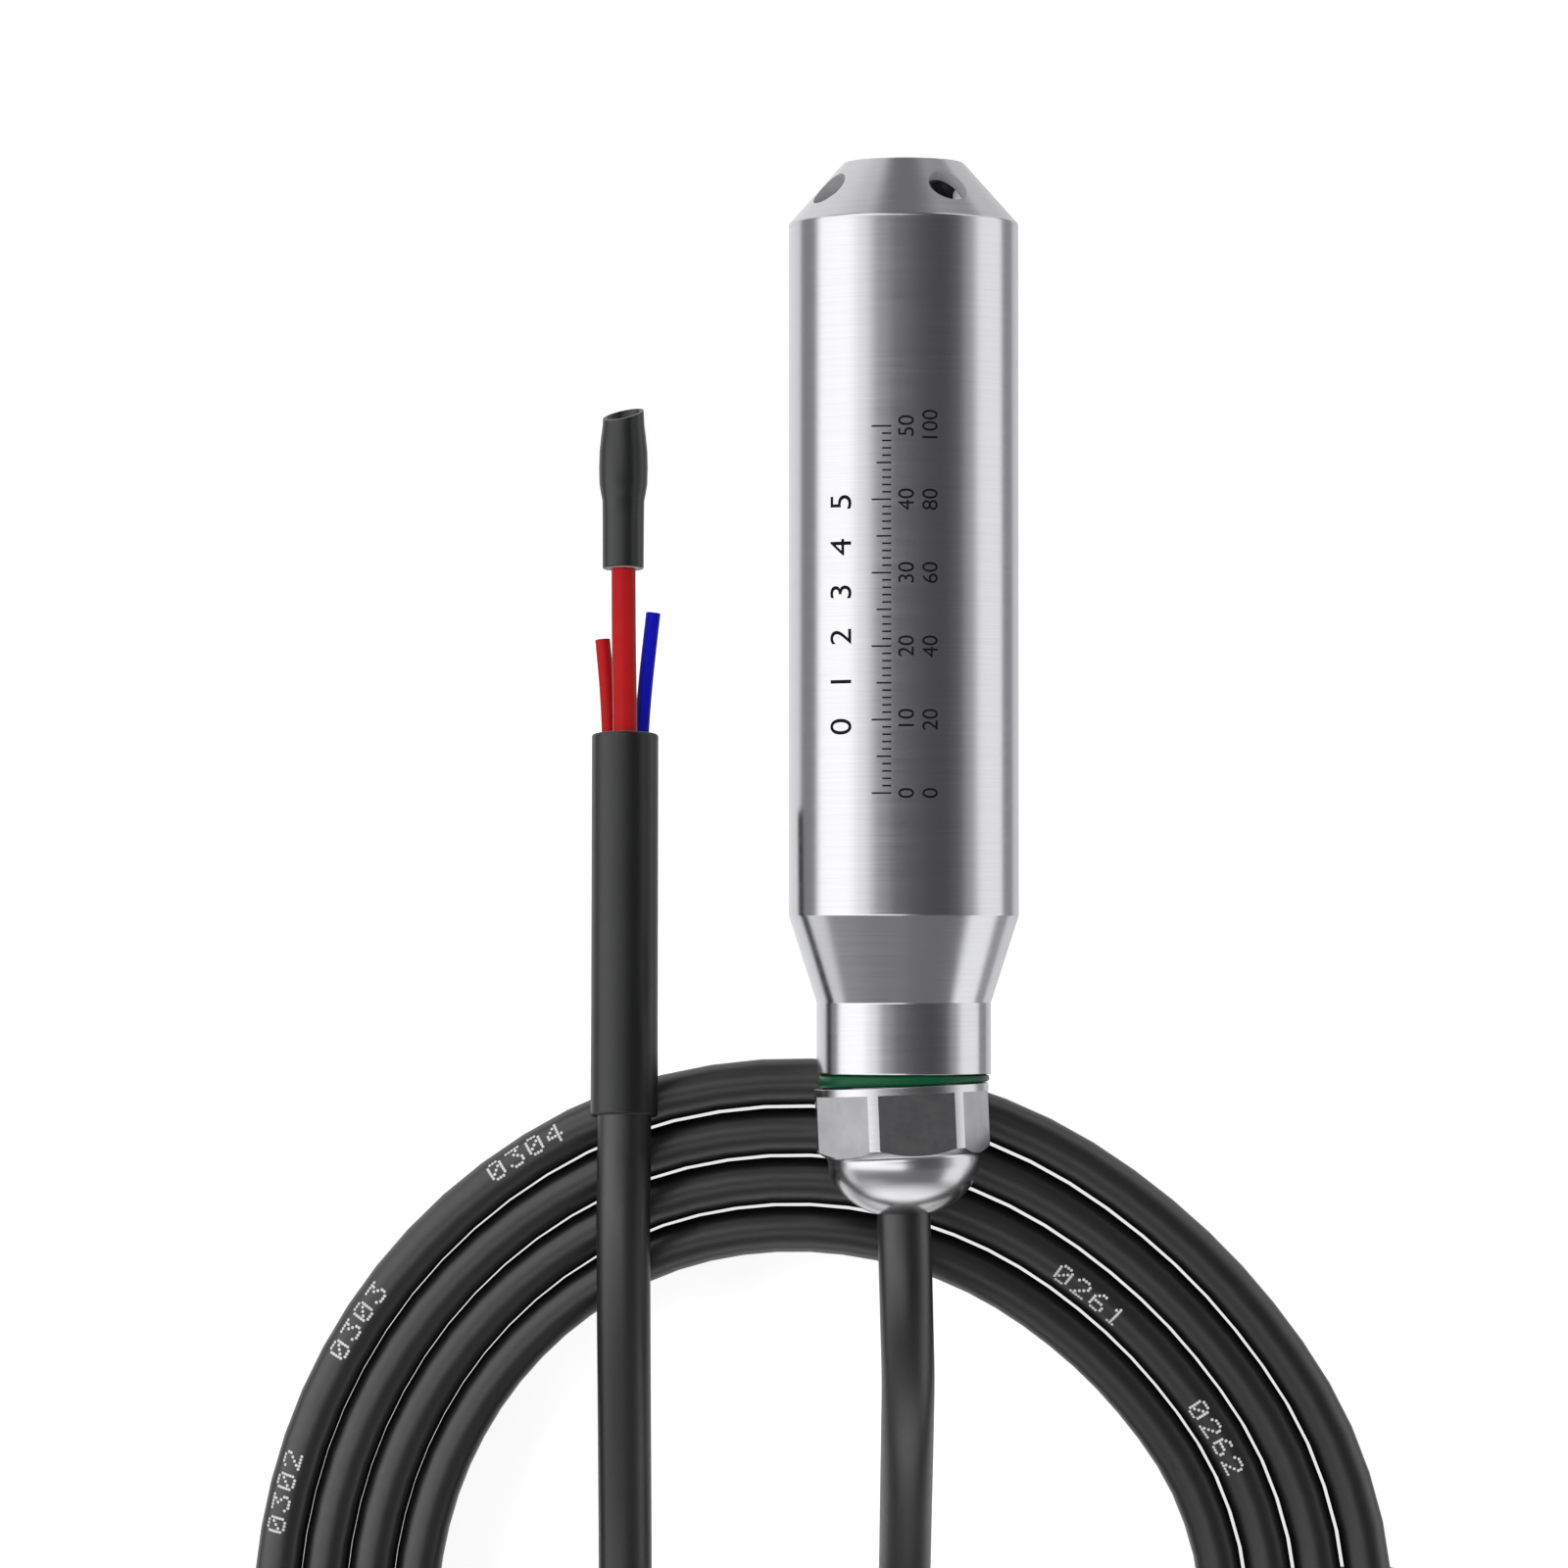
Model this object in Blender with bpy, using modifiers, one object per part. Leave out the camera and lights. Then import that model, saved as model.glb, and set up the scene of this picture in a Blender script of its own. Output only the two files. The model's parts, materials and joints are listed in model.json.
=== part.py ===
"""Submersible level transmitter: a sealed pressure probe on a long vented cable.

The probe is modelled upright round its own Z axis with the nose up, and every depth is
measured down from the tip of the nose. One parent empty then lays it on the ground, with
its shoulder on the ground and its gland nut on the coiled cable. The free end of the cable
has a parent empty of its own.
"""

import math

import bmesh
import bpy
from mathutils import Matrix, Vector

MM = 0.001

# Fits
SEAT_GAP = 0.3 * MM
FINE_GAP = 0.1 * MM
EDGE_BREAK = 0.15 * MM

# Nose cap
BODY_DIAMETER = 28.0 * MM
TIP_DIAMETER = 14.7 * MM
TIP_PORT_DIAMETER = 6.4 * MM
CONE_LENGTH = 7.5 * MM
CAP_RIM = 0.5 * MM
CAP_WALL = 1.5 * MM
CAP_FACE_WALL = 2.0 * MM
CAP_THREAD_LENGTH = 6.0 * MM
CAP_THREAD_WALL = 1.6 * MM
THREAD_RELIEF = 0.5 * MM
INLET_DIAMETER = 5.0 * MM
INLET_DEPTH = 3.6 * MM
INLET_COUNT = 4
INLET_TURN = math.radians(30.0)

# Housing
FRONT_WALL = 1.8 * MM
BAY_WALL = 2.4 * MM
BARREL_LENGTH = 83.6 * MM
TAPER_LENGTH = 10.6 * MM
NECK_DIAMETER = 21.2 * MM
NECK_LENGTH = 8.6 * MM
THREAD_STEP = 2.3 * MM
THREAD_LENGTH = 7.6 * MM
BAY_END_TO_TAPER = 2.6 * MM
ANCHOR_SEAT_DIAMETER = 12.4 * MM
ANCHOR_SEAT_LENGTH = 2.5 * MM
ANCHOR_SEAT_FROM_TAPER = 0.7 * MM

# Pressure cell and its holder
HOLDER_WALL = 2.1 * MM
CELL_LENGTH = 10.8 * MM
CELL_RIM = 1.4 * MM
CELL_RECESS = 0.5 * MM
HOLDER_LIP = 1.7 * MM
HOLDER_LIP_WIDTH = 1.5 * MM
HOLDER_GROOVE_DEPTH = 4.7 * MM
CELL_GROOVE_DEPTH = 3.3 * MM
CELL_RING_SECTION = 1.1 * MM
HOLDER_RING_SECTION = 1.3 * MM
GROOVE_SLACK = 0.5 * MM
WELD_RING_THICKNESS = 0.5 * MM
WELD_RING_WIDTH = 1.2 * MM
DIAPHRAGM_THICKNESS = 0.2 * MM
DIAPHRAGM_WAVES = 3
DIAPHRAGM_WAVE_HEIGHT = 0.2 * MM
DIAPHRAGM_FLAT_RADIUS = 3.0 * MM
RETAINER_LENGTH = 2.1 * MM
RETAINER_WALL = 1.9 * MM
SPANNER_SLOT = 2.0 * MM
HEADER_RECESS = 0.8 * MM
SNOUT_DIAMETER = 2.4 * MM
SNOUT_BORE = 1.2 * MM
SNOUT_LENGTH = 4.8 * MM
PIN_COUNT = 5
PIN_DIAMETER = 0.7 * MM
PIN_CIRCLE_MARGIN = 4.5 * MM
PIN_TURN = math.radians(7.0)

# Electronics
SENSOR_BOARD_MARGIN = 3.0 * MM
SENSOR_BOARD_THICKNESS = 1.2 * MM
SENSOR_BOARD_STANDOFF = 1.9 * MM
LINER_WALL = 0.6 * MM
LINER_START = 4.0 * MM
CARRIER_THICKNESS = 3.0 * MM
CARRIER_RECESS = 1.0 * MM
CARRIER_SLOT_DEPTH = 2.3 * MM
BOARD_MARGIN = 1.4 * MM
BOARD_LENGTH = 48.0 * MM
BOARD_THICKNESS = 1.6 * MM
BOARD_CORNER = 0.8 * MM
RIBBON_WIDTH = 6.0 * MM
RIBBON_THICKNESS = 0.3 * MM
INNER_WIRE_DIAMETER = 1.2 * MM
WIRE_SPACING = 5.0 * MM
WIRE_HEIGHT = 3.4 * MM
BLOCK_WIDTH = 10.4 * MM
BLOCK_LENGTH = 8.0 * MM
BLOCK_HEIGHT = 6.0 * MM
BLOCK_TO_CARRIER = 3.0 * MM
TERMINAL_SCREW_DIAMETER = 2.6 * MM

# Cable and gland
CABLE_DIAMETER = 6.2 * MM
CABLE_CLEARANCE = 0.5 * MM
NECK_BORE_CLEARANCE = 0.9 * MM
CABLE_TAIL_INSIDE = 7.7 * MM
ANCHOR_FLANGE = 1.5 * MM
ANCHOR_LENGTH = 6.0 * MM
ANCHOR_WALL = 1.0 * MM
INNER_VENT_DIAMETER = 2.0 * MM
INNER_VENT_LENGTH = 4.6 * MM
GLAND_RING_SECTION = 1.1 * MM
GLAND_RING_SPACE = 1.6 * MM
SEAL_POCKET_DEPTH = 4.2 * MM
GROMMET_WALL = 1.8 * MM
WASHER_THICKNESS = 0.8 * MM
GROMMET_LENGTH = 7.0 * MM
CAGE_FLANGE = 0.7 * MM
CAGE_WALL = 1.0 * MM
CAGE_FINGER_LENGTH = 3.8 * MM
CAGE_FINGERS = 10
CAGE_SLOT = 0.8 * MM
NUT_COLLAR = 1.2 * MM
NUT_BODY_LENGTH = 9.1 * MM
NUT_CHAMFER_WIDTH = 1.4 * MM
NUT_CHAMFER_LENGTH = 0.8 * MM
NUT_THREAD_CLEARANCE = 0.5 * MM
DOME_HEIGHT = 6.8 * MM
NUT_FLAT_DEPTH = 1.1 * MM
HEX_TURN = math.radians(10.0)
NUT_SKEW = math.radians(2.4)
SQUEEZE_SLOPE = 0.72
SQUEEZE_LIP = 0.4 * MM
SQUEEZE_MOUTH_LENGTH = 3.2 * MM

# Coil
COIL_CENTRE = (-11.2 * MM, -118.2 * MM)
COIL_INNER_RADIUS = 45.2 * MM
COIL_OUTER_RADIUS = 72.6 * MM
COIL_SHIFT = -1.6 * MM
COIL_LAYERS = 3
LAYER_PITCH = 6.3 * MM
TIE_ANGLES = [math.radians(a) for a in (88.0, 178.0, 268.0)]
TIE_THICKNESS = 1.1 * MM
TIE_WIDTH = 3.6 * MM
TIE_GAP = 0.3 * MM

# Free end of the lead
SHRINK_DIAMETER = 8.3 * MM
SHRINK_LENGTH = 47.1 * MM
SHRINK_GRIP = 38.0 * MM
LEAD_SLOPE = math.radians(14.5)
LEAD_START = (-34.1 * MM, -53.0 * MM)
VENT_DIAMETER = 2.9 * MM
VENT_SHOWS = 20.6 * MM
VENT_IN_SHRINK = 6.0 * MM
CORE_DIAMETER = 1.8 * MM
CORE_OFFSET = 2.0 * MM
CORE_DROP = 1.7 * MM
RED_CORE_LENGTH = 12.0 * MM
RED_CORE_LEAN = 0.9 * MM
BLUE_CORE_LENGTH = 15.4 * MM
BLUE_CORE_LEAN = 1.4 * MM
BOOT_LENGTH = 20.0 * MM
BOOT_DIAMETER = 5.0 * MM
BOOT_BULGE_DIAMETER = 6.0 * MM
BOOT_COLLAR_LENGTH = 8.6 * MM
BOOT_BULGE_LENGTH = 6.4 * MM
BOOT_SLANT = math.radians(12.0)

# Routes of the free cable, in millimetres, chosen by hand
RUN_ROUTE = [
    (0.1, -70.0, 34.1), (0.2, -77.0, 33.8), (0.3, -84.0, 31.9), (0.3, -91.0, 28.2), (0.3, -98.0, 23.0),
    (0.3, -105.0, 17.3), (0.3, -112.0, 12.0), (0.3, -119.0, 7.8),
    (0.3, -126.0, 5.3), (0.2, -133.0, 4.5), (-2.9, -145.2, 4.5), (-12.1, -154.6, 4.5), (-24.0, -157.4, 4.5),
    (-33.3, -155.2, 4.5),
]
LEAD_ROUTE = [
    (35.7, -167.8, 23.6), (27.6, -174.6, 23.6), (13.4, -181.9, 24.0), (0.8, -184.2, 24.7), (-14.0, -180.9, 25.0),
    (-26.0, -171.6, 24.6), (-32.9, -158.4, 23.8), (-34.2, -146.0, 22.9), (-34.2, -132.0, 22.0),
    (-34.2, -118.0, 21.9), (-34.2, -104.0, 22.7), (-34.2, -90.0, 24.5), (-34.2, -80.0, 25.9),
    (-34.2, -72.0, 26.6), (-34.2, -65.0, 26.7), (-34.1, -58.0, 25.9),
]

# Worked out from the sizes above
BODY_RADIUS = BODY_DIAMETER / 2
CAP_BACK = CONE_LENGTH + CAP_RIM
CAP_END = CAP_BACK + CAP_THREAD_LENGTH
FRONT_BORE = BODY_RADIUS - FRONT_WALL
BAY_BORE = BODY_RADIUS - BAY_WALL
BARREL_START = CAP_BACK + SEAT_GAP
BARREL_END = CAP_BACK + BARREL_LENGTH
TAPER_END = BARREL_END + TAPER_LENGTH
NECK_END = TAPER_END + NECK_LENGTH
THREAD_END = NECK_END + THREAD_LENGTH
BAY_END = BARREL_END - BAY_END_TO_TAPER
ANCHOR_SEAT = TAPER_END - ANCHOR_SEAT_FROM_TAPER
CABLE_RADIUS = CABLE_DIAMETER / 2
NUT_RADIUS = NECK_DIAMETER / 2
THREAD_RADIUS = NUT_RADIUS - THREAD_STEP
GROMMET_BORE = CABLE_RADIUS + FINE_GAP
CAGE_BORE = GROMMET_BORE + GROMMET_WALL + SEAT_GAP
CAGE_RADIUS = CAGE_BORE + CAGE_WALL
SEAL_POCKET = CAGE_RADIUS + SEAT_GAP
NECK_BORE = CABLE_RADIUS + NECK_BORE_CLEARANCE
SEAL_POCKET_FLOOR = THREAD_END - SEAL_POCKET_DEPTH

HOLDER_START = CAP_END + SEAT_GAP
HOLDER_RADIUS = FRONT_BORE - SEAT_GAP
CELL_BORE = HOLDER_RADIUS - HOLDER_WALL
CELL_RADIUS = CELL_BORE - SEAT_GAP
HOLDER_WINDOW = CELL_RADIUS - HOLDER_LIP_WIDTH
PIN_CIRCLE_RADIUS = CELL_RADIUS - PIN_CIRCLE_MARGIN
LIP_END = HOLDER_START + HOLDER_LIP
WELD_RING_START = LIP_END + SEAT_GAP
DIAPHRAGM_START = WELD_RING_START + WELD_RING_THICKNESS + FINE_GAP
CELL_START = DIAPHRAGM_START + DIAPHRAGM_THICKNESS + FINE_GAP
CELL_END = CELL_START + CELL_LENGTH
RETAINER_START = CELL_END + SEAT_GAP
RETAINER_END = RETAINER_START + RETAINER_LENGTH
HOLDER_END = RETAINER_END + SEAT_GAP
BORE_STEP = HOLDER_END + SEAT_GAP
HEADER_FLOOR = CELL_END - HEADER_RECESS

SENSOR_BOARD_START = RETAINER_END + SENSOR_BOARD_STANDOFF
SENSOR_BOARD_RADIUS = BAY_BORE - SENSOR_BOARD_MARGIN
LINER_RADIUS = BAY_BORE - SEAT_GAP
LINER_BORE = LINER_RADIUS - LINER_WALL
LINER_FRONT = BORE_STEP + LINER_START
CARRIER_RADIUS = LINER_BORE - SEAT_GAP
BOARD_WIDTH = 2 * (CARRIER_RADIUS - BOARD_MARGIN)
FRONT_CARRIER_START = LINER_FRONT + CARRIER_RECESS
FRONT_CARRIER_END = FRONT_CARRIER_START + CARRIER_THICKNESS
BOARD_START = FRONT_CARRIER_END - CARRIER_SLOT_DEPTH + SEAT_GAP
BOARD_END = BOARD_START + BOARD_LENGTH
REAR_CARRIER_START = BOARD_END - CARRIER_SLOT_DEPTH + SEAT_GAP
REAR_CARRIER_END = REAR_CARRIER_START + CARRIER_THICKNESS
LINER_END = REAR_CARRIER_END + CARRIER_RECESS
BLOCK_END = REAR_CARRIER_START - BLOCK_TO_CARRIER
BLOCK_START = BLOCK_END - BLOCK_LENGTH

ANCHOR_END = ANCHOR_SEAT - SEAT_GAP
CABLE_TAIL_START = ANCHOR_SEAT - CABLE_TAIL_INSIDE
WASHER_START = SEAL_POCKET_FLOOR + SEAT_GAP
GROMMET_START = WASHER_START + WASHER_THICKNESS + SEAT_GAP
CAGE_FLANGE_RADIUS = THREAD_RADIUS - SEAT_GAP
CAGE_FLANGE_START = THREAD_END + SEAT_GAP
CAGE_FLANGE_END = CAGE_FLANGE_START + CAGE_FLANGE
NUT_TOP = NECK_END + GLAND_RING_SPACE
NUT_THREAD_RADIUS = THREAD_RADIUS + NUT_THREAD_CLEARANCE
DOME_START = NUT_TOP + NUT_BODY_LENGTH
MOUTH_RADIUS = CABLE_RADIUS + CABLE_CLEARANCE
DOME_RADIUS = NUT_RADIUS - NUT_CHAMFER_WIDTH
MOUTH = DOME_START + DOME_HEIGHT * math.sqrt(1 - (MOUTH_RADIUS / DOME_RADIUS) ** 2)
SQUEEZE_START = CAGE_FLANGE_END + 2 * SEAT_GAP
SQUEEZE_END = MOUTH - SQUEEZE_MOUTH_LENGTH
CABLE_TAIL_END = MOUTH - 4.0 * MM

COIL_BOTTOM = TIE_THICKNESS + TIE_GAP
COIL_TOP = COIL_BOTTOM + CABLE_DIAMETER + (COIL_LAYERS - 1) * LAYER_PITCH

FULL_TURN = 2 * math.pi
TURNED_SIDES = 32
INNER_SIDES = 20
SMALL_SIDES = 12


def lay_angle():
    """The tilt at which the shoulder is on the ground and the nut's collar is on the coil."""
    across, along = BODY_RADIUS - NUT_RADIUS, NUT_TOP + NUT_COLLAR - CONE_LENGTH
    reach = math.hypot(across, along)
    return math.asin((COIL_TOP + SEAT_GAP) / reach) - math.atan2(across, along)


LAY_ANGLE = lay_angle()


def nose_place():
    """Where the tip of the nose lies, so that the probe's bounding box is centred on the origin."""
    sine, cosine = math.sin(LAY_ANGLE), math.cos(LAY_ANGLE)
    front = TIP_DIAMETER / 2 * sine
    back = -MOUTH * cosine - MOUTH_RADIUS * sine
    height = BODY_RADIUS * cosine - CONE_LENGTH * sine
    return Vector((0.0, -(front + back) / 2, height))


def clear_scene():
    for obj in list(bpy.data.objects):
        bpy.data.objects.remove(obj, do_unlink=True)


def new_collection(name):
    collection = bpy.data.collections.new(name)
    bpy.context.scene.collection.children.link(collection)
    return collection


clear_scene()
PARTS = new_collection("level_transmitter")
CUTTERS = new_collection("cutters")
CUTTERS.hide_render = True


def material(name, colour, roughness, metallic=0.0):
    made = bpy.data.materials.new(name)
    made.use_nodes = True
    shader = made.node_tree.nodes["Principled BSDF"]
    shader.inputs["Base Color"].default_value = (*colour, 1.0)
    shader.inputs["Roughness"].default_value = roughness
    shader.inputs["Metallic"].default_value = metallic
    made.diffuse_color = (*colour, 1.0)
    return made


STEEL = material("turned_steel", (0.62, 0.62, 0.64), 0.28, 1.0)
FOIL = material("diaphragm_foil", (0.70, 0.69, 0.66), 0.22, 1.0)
BRASS = material("plated_brass", (0.78, 0.62, 0.30), 0.30, 1.0)
TIN = material("tinned_metal", (0.72, 0.72, 0.70), 0.35, 1.0)
GREEN_RUBBER = material("green_rubber", (0.02, 0.16, 0.07), 0.45)
BLACK_RUBBER = material("black_rubber", (0.02, 0.02, 0.02), 0.60)
JACKET = material("cable_jacket", (0.018, 0.018, 0.020), 0.42)
SHRINK = material("shrink_tube", (0.015, 0.015, 0.015), 0.50)
RED_PLASTIC = material("red_plastic", (0.55, 0.02, 0.02), 0.35)
BLUE_PLASTIC = material("blue_plastic", (0.01, 0.03, 0.50), 0.35)
BOARD_GREEN = material("board_laminate", (0.02, 0.18, 0.07), 0.40)
CHIP_BLACK = material("chip_black", (0.03, 0.03, 0.035), 0.45)
LINER = material("liner_film", (0.75, 0.55, 0.20), 0.40)
CARRIER = material("carrier_plastic", (0.80, 0.79, 0.74), 0.50)
NYLON = material("nylon", (0.03, 0.03, 0.03), 0.50)


def empty(name, location, rotation, parent=None):
    made = bpy.data.objects.new(name, None)
    made.location = location
    made.rotation_euler = rotation
    made.parent = parent
    PARTS.objects.link(made)
    return made


def lying(angle):
    """The rotation that turns local +Z to +Y and then down by the angle, with local -Y upwards."""
    return (-(math.pi / 2 + angle), 0.0, 0.0)


PROBE = empty("probe_axis", nose_place(), lying(LAY_ANGLE))
BOARD_TOP = empty("board_top", (0.0, -BOARD_THICKNESS / 2, 0.0), (math.pi / 2, 0.0, 0.0), PROBE)
LEAD_HEIGHT = COIL_TOP + SEAT_GAP + SHRINK_DIAMETER / 2
LEAD = empty("lead_axis", (*LEAD_START, LEAD_HEIGHT), lying(LEAD_SLOPE))


def place(name, data, finish, parent, collection=PARTS):
    made = bpy.data.objects.new(name, data)
    if finish:
        data.materials.append(finish)
    made.parent = parent
    collection.objects.link(made)
    return made


def mesh_from(bm, name):
    mesh = bpy.data.meshes.new(name)
    bm.to_mesh(mesh)
    bm.free()
    return mesh


def as_cutter(obj):
    PARTS.objects.unlink(obj)
    CUTTERS.objects.link(obj)
    obj.hide_render = True
    obj.display_type = "WIRE"
    return obj


def boolean(target, tool, operation):
    modifier = target.modifiers.new(tool.name, "BOOLEAN")
    modifier.operation = operation
    modifier.object = tool
    modifier.solver = "EXACT"


def cut(target, tool):
    boolean(target, as_cutter(tool), "DIFFERENCE")


def join(target, tool):
    boolean(target, as_cutter(tool), "UNION")


def turned(name, profile, finish, parent, sides=TURNED_SIDES, closed=True):
    """A solid of revolution: the (radius, height) profile runs down the outer side and up the inner one."""
    bm = bmesh.new()
    points = [bm.verts.new((radius, 0.0, height)) for radius, height in profile]
    for start, end in zip(points, points[1:]):
        bm.edges.new((start, end))
    if closed:
        bm.edges.new((points[-1], points[0]))
    made = place(name, mesh_from(bm, name), finish, parent)
    screw = made.modifiers.new("Turn", "SCREW")
    screw.angle = FULL_TURN
    screw.steps = screw.render_steps = sides
    screw.use_merge_vertices = True
    screw.merge_threshold = 0.00001
    screw.use_smooth_shade = True
    return made


def by_depth(profile):
    """Turns (radius, depth) pairs into (radius, height) pairs."""
    return [(radius, -depth) for radius, depth in profile]


def seal_ring(name, ring_radius, section, height, finish, parent, sides=TURNED_SIDES, around=8):
    steps = [FULL_TURN * k / around for k in range(around)]
    profile = [
        (ring_radius + section / 2 * math.cos(step), height - section / 2 * math.sin(step)) for step in steps
    ]
    return turned(name, profile, finish, parent, sides)


def block(name, size, centre, finish, parent, bevel=0.0):
    """A box with rounded edges. Its size is in its mesh, so that the bevel keeps its width."""
    bm = bmesh.new()
    bmesh.ops.create_cube(bm, size=1.0, matrix=Matrix.Translation(centre) @ Matrix.Diagonal((*size, 1.0)))
    made = place(name, mesh_from(bm, name), finish, parent)
    if bevel:
        edges = made.modifiers.new("Edges", "BEVEL")
        edges.width = bevel
        edges.segments = 2
    return made


def blocks(name, boxes, finish, parent):
    """Several separate boxes in one object, to be cut away or joined on together."""
    bm = bmesh.new()
    for size, centre in boxes:
        bmesh.ops.create_cube(bm, size=1.0, matrix=Matrix.Translation(centre) @ Matrix.Diagonal((*size, 1.0)))
    return place(name, mesh_from(bm, name), finish, parent)


def rod(name, radius, length, matrix, finish, parent, sides=SMALL_SIDES, end_radius=None):
    bm = bmesh.new()
    bmesh.ops.create_cone(
        bm,
        cap_ends=True,
        segments=sides,
        radius1=radius,
        radius2=radius if end_radius is None else end_radius,
        depth=length,
        matrix=matrix,
    )
    return place(name, mesh_from(bm, name), finish, parent)


def smooth_route(route, spacing):
    """Points at even steps along the smooth curve through a list of route points."""
    knots = [Vector(point) for point in route]
    knots = [2 * knots[0] - knots[1], *knots, 2 * knots[-1] - knots[-2]]
    dense = []
    for before, start, end, after in zip(knots, knots[1:], knots[2:], knots[3:]):
        for k in range(24):
            t = k / 24
            dense.append(
                0.5
                * (
                    2 * start
                    + (end - before) * t
                    + (2 * before - 5 * start + 4 * end - after) * t**2
                    + (3 * start - before - 3 * end + after) * t**3
                )
            )
    dense.append(knots[-2])
    lengths = [0.0]
    for start, end in zip(dense, dense[1:]):
        lengths.append(lengths[-1] + (end - start).length)
    count = max(2, round(lengths[-1] / spacing))
    points, at = [], 0
    for k in range(count + 1):
        target = lengths[-1] * k / count
        while at < len(lengths) - 2 and lengths[at + 1] < target:
            at += 1
        share = (target - lengths[at]) / (lengths[at + 1] - lengths[at])
        points.append(dense[at].lerp(dense[at + 1], min(1.0, share)))
    return points


def tube(name, points, diameter, finish, parent=None, resolution=2):
    curve = bpy.data.curves.new(name, "CURVE")
    curve.dimensions = "3D"
    curve.bevel_depth = diameter / 2
    curve.bevel_resolution = resolution
    curve.use_fill_caps = True
    spline = curve.splines.new("POLY")
    spline.points.add(len(points) - 1)
    for spot, point in zip(spline.points, points):
        spot.co = (*point, 1.0)
    return place(name, curve, finish, parent)


def flat_plate(name, loops, thickness, finish, parent, matrix):
    """A plate cut to an outline, with a hole for each loop after the first."""
    curve = bpy.data.curves.new(name, "CURVE")
    curve.dimensions = "2D"
    curve.fill_mode = "BOTH"
    curve.extrude = thickness / 2
    for loop in loops:
        spline = curve.splines.new("POLY")
        spline.points.add(len(loop) - 1)
        for spot, point in zip(spline.points, loop):
            spot.co = (*point, 0.0, 1.0)
        spline.use_cyclic_u = True
    made = place(name, curve, finish, parent)
    made.matrix_local = matrix
    return made


def meshed(curve_object):
    """The same piece as a mesh, which can be cut and joined."""
    bpy.context.view_layer.update()
    graph = bpy.context.evaluated_depsgraph_get()
    mesh = bpy.data.meshes.new_from_object(curve_object.evaluated_get(graph))
    bm = bmesh.new()
    bm.from_mesh(mesh)
    bmesh.ops.remove_doubles(bm, verts=bm.verts, dist=0.000001)
    bm.to_mesh(mesh)
    bm.free()
    name, matrix = curve_object.name, curve_object.matrix_world.copy()
    bpy.data.objects.remove(curve_object, do_unlink=True)
    made = bpy.data.objects.new(name, mesh)
    PARTS.objects.link(made)
    made.matrix_world = matrix
    return made


def around_axis(count, start=0.0):
    return [start + FULL_TURN * k / count for k in range(count)]


def towards(turn):
    """The unit vector across the probe at a turn to the right of straight up."""
    return Vector((math.sin(turn), -math.cos(turn), 0.0))


def cone_radius(depth):
    """Radius of the nose cone's outside at a depth."""
    return TIP_DIAMETER / 2 + (BODY_RADIUS - TIP_DIAMETER / 2) * depth / CONE_LENGTH


def make_nose_cap():
    slant = math.atan2(BODY_RADIUS - TIP_DIAMETER / 2, CONE_LENGTH)
    wall_across = CAP_WALL / math.cos(slant)
    spigot = FRONT_BORE - SEAT_GAP
    bore = spigot - CAP_THREAD_WALL
    port = TIP_PORT_DIAMETER / 2
    inner_end = CONE_LENGTH * (bore + wall_across - TIP_DIAMETER / 2) / (BODY_RADIUS - TIP_DIAMETER / 2)
    cap = turned(
        "nose_cap",
        by_depth(
            [
                (port + 2 * EDGE_BREAK, 0.0),
                (TIP_DIAMETER / 2 - EDGE_BREAK, 0.0),
                (cone_radius(EDGE_BREAK), EDGE_BREAK),
                (BODY_RADIUS, CONE_LENGTH),
                (BODY_RADIUS, CAP_BACK),
                (spigot - THREAD_RELIEF, CAP_BACK),
                (spigot - THREAD_RELIEF, CAP_BACK + 2 * THREAD_RELIEF),
                (spigot, CAP_BACK + 3 * THREAD_RELIEF),
                (spigot, CAP_END - THREAD_RELIEF),
                (spigot - THREAD_RELIEF, CAP_END),
                (bore, CAP_END),
                (bore, inner_end),
                (cone_radius(CAP_FACE_WALL) - wall_across, CAP_FACE_WALL),
                (port, CAP_FACE_WALL),
                (port, 2 * EDGE_BREAK),
            ]
        ),
        STEEL,
        PROBE,
    )
    outward = math.pi / 2 - slant
    for number, turn in enumerate(around_axis(INLET_COUNT, INLET_TURN), 1):
        across = towards(turn)
        on_cone = across * cone_radius(INLET_DEPTH) + Vector((0.0, 0.0, -INLET_DEPTH))
        drill_way = across * math.sin(outward) + Vector((0.0, 0.0, math.cos(outward)))
        turn_to = drill_way.to_track_quat("Z", "Y").to_matrix().to_4x4()
        cut(
            cap,
            rod(
                f"inlet_drill_{number}",
                INLET_DIAMETER / 2,
                4 * CAP_WALL,
                Matrix.Translation(on_cone) @ turn_to,
                None,
                PROBE,
                sides=INNER_SIDES,
            ),
        )


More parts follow.
